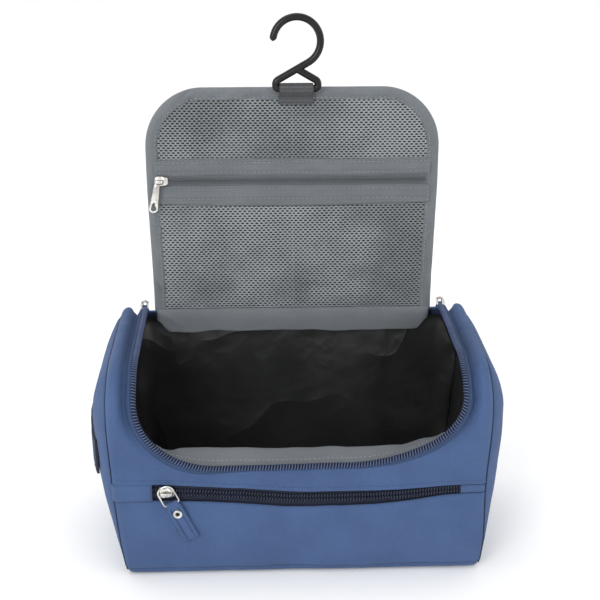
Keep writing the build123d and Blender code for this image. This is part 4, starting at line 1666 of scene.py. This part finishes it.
def net_tree():
    """Geometry Nodes: a staggered net of one small mesh, cut to a rounded outline and gently waved."""
    found = bpy.data.node_groups.get("knitted net")
    if found:
        return found
    tree = bpy.data.node_groups.new("knitted net", "GeometryNodeTree")
    for name, kind in (
        (
            "Start", "Geometry"
        ), ("Mesh", "Object"), ("Width", "Float"), ("Length", "Float"), ("Pitch", "Float"),
        (
            "Row pitch", "Float"
        ), ("Columns", "Int"), ("Rows", "Int"), ("Corner", "Float"), ("Wave", "Float"),
        ("Wave size", "Float"), ("Finish", "Material"),
    ):
        tree.interface.new_socket(name, in_out="INPUT", socket_type=f"NodeSocket{kind}")
    tree.interface.new_socket("Net", in_out="OUTPUT", socket_type="NodeSocketGeometry")
    nodes = Nodes(tree)
    given = nodes.node("NodeGroupInput")
    width, length = given.out("Width"), given.out("Length")
    sizes = {
        "Size X": width,
        "Size Y": length,
        "Vertices X": given.out("Columns"),
        "Vertices Y": given.out("Rows"),
    }
    field = nodes.node("GeometryNodeMeshGrid", None, sizes)
    place = nodes.node("ShaderNodeSeparateXYZ", None, {0: nodes.node("GeometryNodeInputPosition")})
    row = (place.out("Y") / given.out("Row pitch") + 2000.25).math("FLOOR")
    odd = row.math("MODULO", 2.0) - 0.5
    shift = nodes.node("ShaderNodeCombineXYZ", None, {"X": odd * given.out("Pitch") * 0.5})
    staggered = nodes.node("GeometryNodeSetPosition", None, {"Geometry": field, "Offset": shift})
    corner = given.out("Corner")
    after = nodes.node("ShaderNodeSeparateXYZ", None, {0: nodes.node("GeometryNodeInputPosition")})
    over_x = (abs(after.out("X")) - width * 0.5 + corner).at_least(0.0)
    over_y = (after.out("Y") - length * 0.5 + corner).at_least(0.0)
    outside = (over_x * over_x + over_y * over_y).above(corner * corner)
    kept = nodes.node(
        "GeometryNodeDeleteGeometry", {"domain": "POINT"}, {
            "Geometry": staggered, "Selection": outside
        }
    )
    mesh = nodes.node("GeometryNodeObjectInfo", None, {"Object": given.out("Mesh")}, "Geometry")
    copies = nodes.node("GeometryNodeInstanceOnPoints", None, {"Points": kept, "Instance": mesh})
    real = nodes.node("GeometryNodeRealizeInstances", None, {0: copies})
    joined = nodes.node(
        "GeometryNodeMergeByDistance", None, {"Geometry": real, "Distance": 0.00004}
    )
    lumps = nodes.noise(nodes.node("GeometryNodeInputPosition"), given.out("Wave size"), 1.5)
    spot = nodes.node("ShaderNodeSeparateXYZ", None, {0: nodes.node("GeometryNodeInputPosition")})
    from_side = ((width * 0.5 - abs(spot.out("X"))) / 0.01).at_least(0.0).at_most(1.0)
    from_end = ((length * 0.5 - abs(spot.out("Y"))) / 0.01).at_least(0.0).at_most(1.0)
    height = (lumps - 0.34) * given.out("Wave") * from_side * from_end
    rise = nodes.node("ShaderNodeCombineXYZ", None, {"Z": height})
    waved = nodes.node("GeometryNodeSetPosition", None, {"Geometry": joined, "Offset": rise})
    finish = nodes.node(
        "GeometryNodeSetMaterial", None, {"Geometry": waved, "Material": given.out("Finish")}
    )
    nodes.node("NodeGroupOutput", None, {0: finish})
    return tree


def net_mesh(pitch, row_pitch, hole, thickness):
    """One mesh of the net: a hole with strands round it, which tiles in staggered rows."""
    outer = np.array([(-1, -1), (0, -1), (1, -1), (1, 0), (1, 1), (0, 1), (-1, 1), (-1, 0)]) * (
        pitch / 2, row_pitch / 2
    )
    turns = np.radians([225, 270, 315, 0, 45, 90, 135, 180])
    inner = np.stack([hole[0] / 2 * np.cos(turns), hole[1] / 2 * np.sin(turns)], -1)
    rings = [(inner * 1.15, -0.5), (inner, 0.0), (inner * 1.15, 0.5), (outer, 0.5)]
    grid = np.stack([np.column_stack([ring, np.full(8, side * thickness)]) for ring, side in rings])
    grid[-1, :, 2] -= 0.12 * thickness
    return Shape().grid(grid, None, ring=True).make("one_mesh", ["net"], away=None)


def net(name, along, half, corner, inward, wave, size):
    """A net panel on the lid, between two distances from the hinge line."""
    pitch, row_pitch = size.net_pitch / MM, size.net_row_pitch / MM
    width, length = 2 * half, along[1] - along[0]
    columns, count = int(width / pitch) + 1, int(length / row_pitch) + 1
    tile = net_mesh(pitch, row_pitch, (2.4, 1.18), 0.4)
    inputs = {
        "Mesh": tile, "Width": (columns - 1) * pitch * MM, "Length": (count - 1) * row_pitch * MM,
        "Pitch": pitch * MM, "Row pitch": row_pitch * MM, "Columns": columns, "Rows": count,
        "Corner": corner * MM, "Wave": wave * MM, "Wave size": 34.0, "Finish": material("net"),
    }
    made = run_tree(name, bpy.data.meshes.new(name), net_tree(), inputs)
    if len(made.data.polygons) == 0:
        raise RuntimeError(f"{name} came out empty")
    bpy.data.objects.remove(tile)
    middle = Vector((0, sum(along) / 2, inward)) * MM
    made.data.transform(Matrix.Translation(middle))
    points = np.zeros(3 * len(made.data.vertices))
    made.data.vertices.foreach_get("co", points)
    points = points.reshape(-1, 3)
    points[:, 0] = lid_taper(points[:, 0] / MM, points[:, 1] / MM) * MM
    made.data.vertices.foreach_set("co", points.ravel())
    made.data.transform(LID_PLACE)
    for face in made.data.polygons:
        face.use_smooth = False
    return made


class BAG_OT_lid_pocket(PieceOperator):
    """Makes the nets, bands and zip inside the lid, with the slider and its metal pull"""

    bl_idname = "toiletry_bag.lid_pocket"
    bl_label = "Lid pocket"

    def build(self, size):
        half = LID_HALF - 4.5
        lower = net("lower_net", (1.5, 83.0), half, 0.8, 2.7, 6.5, size)
        settle(lower, "lid_rear", "grey_mesh", "lower_mesh")
        upper = net("upper_net", (111.5, 157.0), half, 37.0, 2.7, 5.0, size)
        bend(upper, "lid_rear", "lid_front", FOLD_START, FOLD_STOP, "grey_mesh", "upper_mesh")

        middle = 97.5
        bands = (
            ("lower_band", 81.0, middle - 3.4, (84.6, 91.4), "lower_zip_band", 3.9, 71),
            ("upper_band", middle + 3.4, 112.6, (103.4, 110.4), "upper_zip_band", 3.9, 72),
        )
        for name, start, stop, stitched, node, inward, seed in bands:
            self.band(name, start, stop, stitched, node, inward, seed, half)
        x = stepped(-half, half, 3.0)[None, :]
        along = np.linspace(middle - 4.4, middle + 4.4, 5)[:, None] + 0 * x
        level = np.full(along.shape, 3.3)
        tape = Shape().grid(
            lid_world(np.stack([x + 0 * along, along, level], -1)), flat_map(x + 0 * along, along)
        )
        piece = tape.make("lid_zip_tape_grey", ["grey cloth"], away=(0, 200, 200))
        thicken(piece, 0.4)
        settle(piece, "lid_rear", "grey_lining", "mesh_zip_tape")
        as_sheet(piece)
        line = stepped(-half + 4, half - 4, 2.0)
        lines = [
            (
                lid_world(
                    np.stack([line, np.full(len(line), middle + d), np.full(len(line), 3.5)], -1)
                ),
                LID_OUT,
            )
            for d in (-1.15, 1.15)
        ]
        teeth = rows("lid_pocket_teeth", lines, tooth(2.0, 0.95, 0.75, 0.35), 1.5, "grey zip")
        settle(teeth, "lid_rear", "grey_zip", "mesh_zip_coil")
        self.slider(size)

    def band(self, name, start, stop, stitched, node, inward, seed, half):
        """A strip of folded cloth across the lid, with rows of stitches."""
        x = stepped(-half, half, 1.6)[None, :]
        share = np.linspace(0, 1, 15)[:, None]
        wobble = 0.5 * ripples(np.stack([x, 0 * x, 0 * x], -1), 45, seed)
        along = start + (stop - start) * share + wobble
        along = along - 2.0 * np.cos(np.clip(x / half, -1, 1) * pi / 2) * (1 - share) * (seed == 71)
        place = np.stack([x + 0 * share, along * 0.6, 0 * along], -1)
        puff = np.sin(pi * share) ** 0.35 * 0.55 - sum(0.4 * bell(along - s, 0.9) for s in stitched)
        level = inward - 0.35 + puff + 0.75 * ripples(
            place * (0.7, 1.4, 1), 9, seed + 2, 2
        ) * np.sin(pi * share)
        band = Shape().grid(
            lid_world(np.stack([x + 0 * share, along, level], -1)), flat_map(x + 0 * share, along)
        )
        piece = band.make(name, ["grey cloth"], away=(0, 200, 200))
        thicken(piece, 0.5)
        settle(piece, "lid_rear", "grey_lining", node)
        as_sheet(piece)
        line = stepped(-half + 4, half - 4, 2.0)
        lines = []
        for spot in stitched:
            offset = 0.5 * ripples(np.stack([line, 0 * line, 0 * line], -1), 45, seed)
            points = np.stack([line, spot + offset, np.full(len(line), inward + 0.3)], -1)
            lines.append((lid_world(points), LID_OUT))
        made = rows(f"{name}_stitch", lines, dash(2.1, 0.5, 0.5), 3.3, "grey thread")
        settle(made, "lid_rear", "grey_lining")

    def slider(self, size):
        lo, hi = low("mesh_slider"), high("mesh_slider")
        x, middle, level = (lo[0] + hi[0]) / 2, 97.5, 4.5
        place = LID_PLACE @ Matrix.Translation(Vector((x + 0.5, middle, level - 0.4)) * MM)
        body = zip_slider(10.0, 8.0, 2.4)
        bar_x = joint("mesh_pull_lift")[0]
        arch = rounded_path(
            [(-3.9, 0, 1.4), (-3.9, 0, 4.5), (1.6, 0, 4.5), (1.6, 0, 1.4)], [1.4, 1.4], 0.5
        )
        body.sweep(arch - (0.4, 0, 0), oval(3.2, 1.0, 8, 3), (0, 0, 1), caps=True)
        piece = body.make("lid_pocket_slider", ["nickel"], place=place)
        settle(piece, "mesh_slider_body", "nickel", "mesh_slider")
        turn = Matrix.Rotation(radians(-10), 4, "Z")
        hang = LID_PLACE @ Matrix.Translation(Vector((bar_x, middle, 7.8)) * MM) @ turn
        pull = metal_pull(22.0, 6.3, 1.1).make("lid_pocket_pull", ["nickel"], place=hang)
        settle(pull, "mesh_pull_body", "nickel", "mesh_pull")


def metal_pull(length, width, thickness):
    """A flat pull that widens to a round end with a round hole, hanging towards -Y from its eye."""
    turns = np.linspace(0, 2 * pi, 49)[:-1] + pi / 2
    hole = np.stack([1.9 * np.cos(turns), 1.9 * np.sin(turns) - (length - width / 2)], -1)
    radius = width / 2
    centre = -(length - width / 2)
    outer = []
    for turn in turns:
        c, s = np.cos(turn), np.sin(turn)
        if s > 0.35:
            share = (s - 0.35) / 0.65
            outer.append((np.sign(c) * (radius * 0.93 - 1.2 * share) * min(1, abs(c) * 3), centre + 1.1 + share * (-centre - 0.2)))
        else:
            outer.append((radius * c, centre + radius * s))
    outer = np.array(outer)
    levels = [
        (0.0, -0.38),
        (0.22, -0.5),
        (0.78, -0.5),
        (1.0, -0.36),
        (1.0, 0.36),
        (0.78, 0.5),
        (0.22, 0.5),
        (0.0, 0.38),
    ]
    rings = []
    for share, lift in levels:
        flat = hole + (outer - hole) * share
        rings.append(np.column_stack([flat, np.full(len(flat), lift * thickness)]))
    rings.append(rings[0])
    return Shape().grid(np.stack(rings), None, ring=True)


class BAG_OT_hook(PieceOperator):
    """Makes the swivelling hook and the webbing loop that holds it"""

    bl_idname = "toiletry_bag.hook"
    bl_label = "Hook and loop"
    ASIDE = 2.4

    def build(self, size):
        bar = joint("hook_swing")
        offset = bar - HINGE
        along = offset[1] * sin(LEAN) + offset[2] * cos(LEAN)
        inward = -offset[1] * cos(LEAN) + offset[2] * sin(LEAN)
        place = LID_PLACE @ Matrix.Translation(Vector((self.ASIDE, along, inward)) * MM)
        wire, bore, rise, half, foot = size.hook_wire / MM, 27.2, 31.6, 14.5, 5.0
        radius = (bore + wire) / 2
        leg_rise = rise - foot
        lean = atan2(leg_rise, half) - asin(radius / hypot(half, leg_rise))
        bow = []
        for turn in np.linspace(pi, -(pi / 2 - lean), 60):
            bow.append((radius * np.cos(turn), rise + radius * np.sin(turn), 0))
        crossing = foot + half * tan(lean)
        legs = rounded_path(
            [
                bow[-1],
                (-half, foot, 0),
                (-half, 0, 0),
                (half, 0, 0),
                (half, foot, 0),
                (-0.5, crossing + 0.4, 0),
            ],
            [3.2, 2.2, 2.2, 3.2], 0.8,
        )
        line = evenly(np.concatenate([np.array(bow), legs[1:]]), 0.8)
        size_along = np.ones(len(line))
        for i, share in enumerate(np.sin(np.linspace(0.05, pi / 2, 4))):
            size_along[i] = share
        shape = Shape().sweep(line, oval(wire, wire, 20), (0, 0, 1), size_along)
        piece = shape.make("hanging_hook_piece", ["black plastic"], place=place)
        settle(piece, "hanging_hook", "black_plastic", "hook")
        self.loop(size, along, inward)

    def loop(self, size, along, inward):
        """The webbing: sewn over the binding, folded up and round the hook's bar."""
        width = 24.0
        centre = np.array([along, inward])
        radius = size.hook_wire / MM / 2 + 0.9
        path = np.array([(150.6, 4.2), (153.0, 4.3), (155.3, 4.6)] + [
            (centre[0] - radius * 1.15, centre[1] - 1.9),
        ] + [
            centre + radius * np.array([-cos(t), -sin(t)]) for t in np.linspace(
                0.7, 2 * pi - 0.7, 24
            )
        ] + [(centre[0] - radius * 1.2, centre[1] + 0.6), (155.9, 5.9), (153.0, 5.6), (150.6, 5.4)])
        path = evenly(path, 0.7)
        ahead = np.gradient(path, axis=0)
        ahead /= np.linalg.norm(ahead, axis=1, keepdims=True)
        side = np.stack([-ahead[:, 1], ahead[:, 0]], -1)
        u = np.linspace(-1, 1, 15)
        grids = []
        for lift in (0.5, -0.5):
            edge = path + side * lift
            points = np.stack([
                np.column_stack([np.full(len(edge), self.ASIDE + width / 2 * s), edge - side * lift * 0.3 * (abs(s) ** 8)])
                for s in u
            ], 1)
            grids.append(lid_world(points))
        far = np.arange(len(path)) * 0.7
        cloth = np.stack(np.broadcast_arrays(u[None, :] * width / 2, far[:, None]), -1) * MM
        strap = Shape().slab(grids[0], grids[1], cloth)
        piece = strap.make("hanging_loop_webbing", ["grey webbing"])
        bend(
            piece, "lid_front", "hang_loop_band", on_lid(0, 155.2, 5), on_lid(0, 158.2, 5), "grey_webbing",
            "hang_loop", "loop_tail",
        )
        as_sheet(piece)


# ---------------------------------------------------------------- the add-on's settings and panel


def length(name, description, default):
    return bpy.props.FloatProperty(
        name=name, description=description, default=default, min=0.0001, max=2.0, precision=4,
        subtype="DISTANCE", unit="LENGTH",
    )


def colour(name, description, default):
    return bpy.props.FloatVectorProperty(
        name=name, description=description, default=default, size=3, min=0, max=1, subtype="COLOR"
    )


class ToiletryBagSize(bpy.types.PropertyGroup):
    """Sizes of the bag's cloth and trimmings, and the view"""

    cloth_thickness: length(
        "Cloth thickness", "Thickness of the outer cloth with its backing", 0.0012
    )
    tooth_pitch: length(
        "Zip pitch", "Distance from one turn of the large zip's coil to the next", 0.0019
    )
    net_pitch: length("Net pitch", "Distance between the net's holes along a row", 0.0034)
    net_row_pitch: length("Net row pitch", "Distance between the net's rows", 0.0017)
    webbing_width: length("Webbing width", "Width of the side handle", 0.025)
    hook_wire: length("Hook thickness", "Thickness of the hook's round bar", 0.005)
    view_distance: length("View distance", "Distance of the camera from the hinge", 0.85)
    view_turn: bpy.props.FloatProperty(
        name="View turn", description="Camera's turn to the right, degrees", default=-2.0
    )
    view_rise: bpy.props.FloatProperty(
        name="View rise", description="Camera's height as an angle, degrees", default=22.0
    )
    view_lens: bpy.props.FloatProperty(
        name="Lens", description="Focal length in millimetres", default=69.7
    )


class ToiletryBagLook(bpy.types.PropertyGroup):
    """Colours of the bag"""

    cloth: colour("Outer cloth", "Blue polyester of the outside", (0.060, 0.108, 0.234))
    lining: colour("Facing", "Grey cloth of the binding, bands and facings", (0.168, 0.185, 0.203))
    inside: colour("Lining", "Shiny black lining of the bag", (0.019, 0.0195, 0.02))
    net: colour("Net", "Knitted net of the lid's pockets", (0.2, 0.218, 0.228))
    coil: colour("Main coil", "Nylon coil of the main zip", (0.05, 0.075, 0.16))
    navy: colour("Pocket zip", "Dark coil and tape of the pocket's zip", (0.012, 0.018, 0.042))
    loop: colour("Loop", "Webbing that holds the hook", (0.07, 0.075, 0.08))
    metal: colour("Metal", "Nickel of sliders, ring and eyelet", (0.62, 0.605, 0.57))
    plastic: colour("Hook", "Black plastic of the hook", (0.006, 0.006, 0.0065))


OPERATORS = (
    BAG_OT_stage, BAG_OT_outer_cloth, BAG_OT_lining, BAG_OT_main_zip, BAG_OT_pocket_zip,
    BAG_OT_side_handle, BAG_OT_lid, BAG_OT_lid_pocket, BAG_OT_hook,
)


class BAG_PT_panel(bpy.types.Panel):
    """Lists the bag's settings and the operators that build it"""

    bl_idname = "BAG_PT_panel"
    bl_label = "Toiletry bag"
    bl_space_type = "VIEW_3D"
    bl_region_type = "UI"
    bl_category = "Toiletry bag"

    def draw(self, context):
        for group in (context.scene.toiletry_bag_size, context.scene.toiletry_bag_look):
            box = self.layout.box()
            for name in group.bl_rna.properties.keys():
                if name not in ("rna_type", "name"):
                    box.prop(group, name)
        for operator in OPERATORS:
            self.layout.operator(operator.bl_idname)


def register():
    for item in (ToiletryBagSize, ToiletryBagLook, *OPERATORS, BAG_PT_panel):
        bpy.utils.register_class(item)
    bpy.types.Scene.toiletry_bag_size = bpy.props.PointerProperty(type=ToiletryBagSize)
    bpy.types.Scene.toiletry_bag_look = bpy.props.PointerProperty(type=ToiletryBagLook)


def unregister():
    del bpy.types.Scene.toiletry_bag_look
    del bpy.types.Scene.toiletry_bag_size
    for item in reversed((ToiletryBagSize, ToiletryBagLook, *OPERATORS, BAG_PT_panel)):
        bpy.utils.unregister_class(item)


def main():
    register()
    bpy.ops.toiletry_bag.stage()
    bpy.ops.toiletry_bag.outer_cloth()
    bpy.ops.toiletry_bag.lining()
    bpy.ops.toiletry_bag.main_zip()
    bpy.ops.toiletry_bag.pocket_zip()
    bpy.ops.toiletry_bag.side_handle()
    bpy.ops.toiletry_bag.lid()
    bpy.ops.toiletry_bag.lid_pocket()
    bpy.ops.toiletry_bag.hook()


if __name__ == "__main__":
    main()
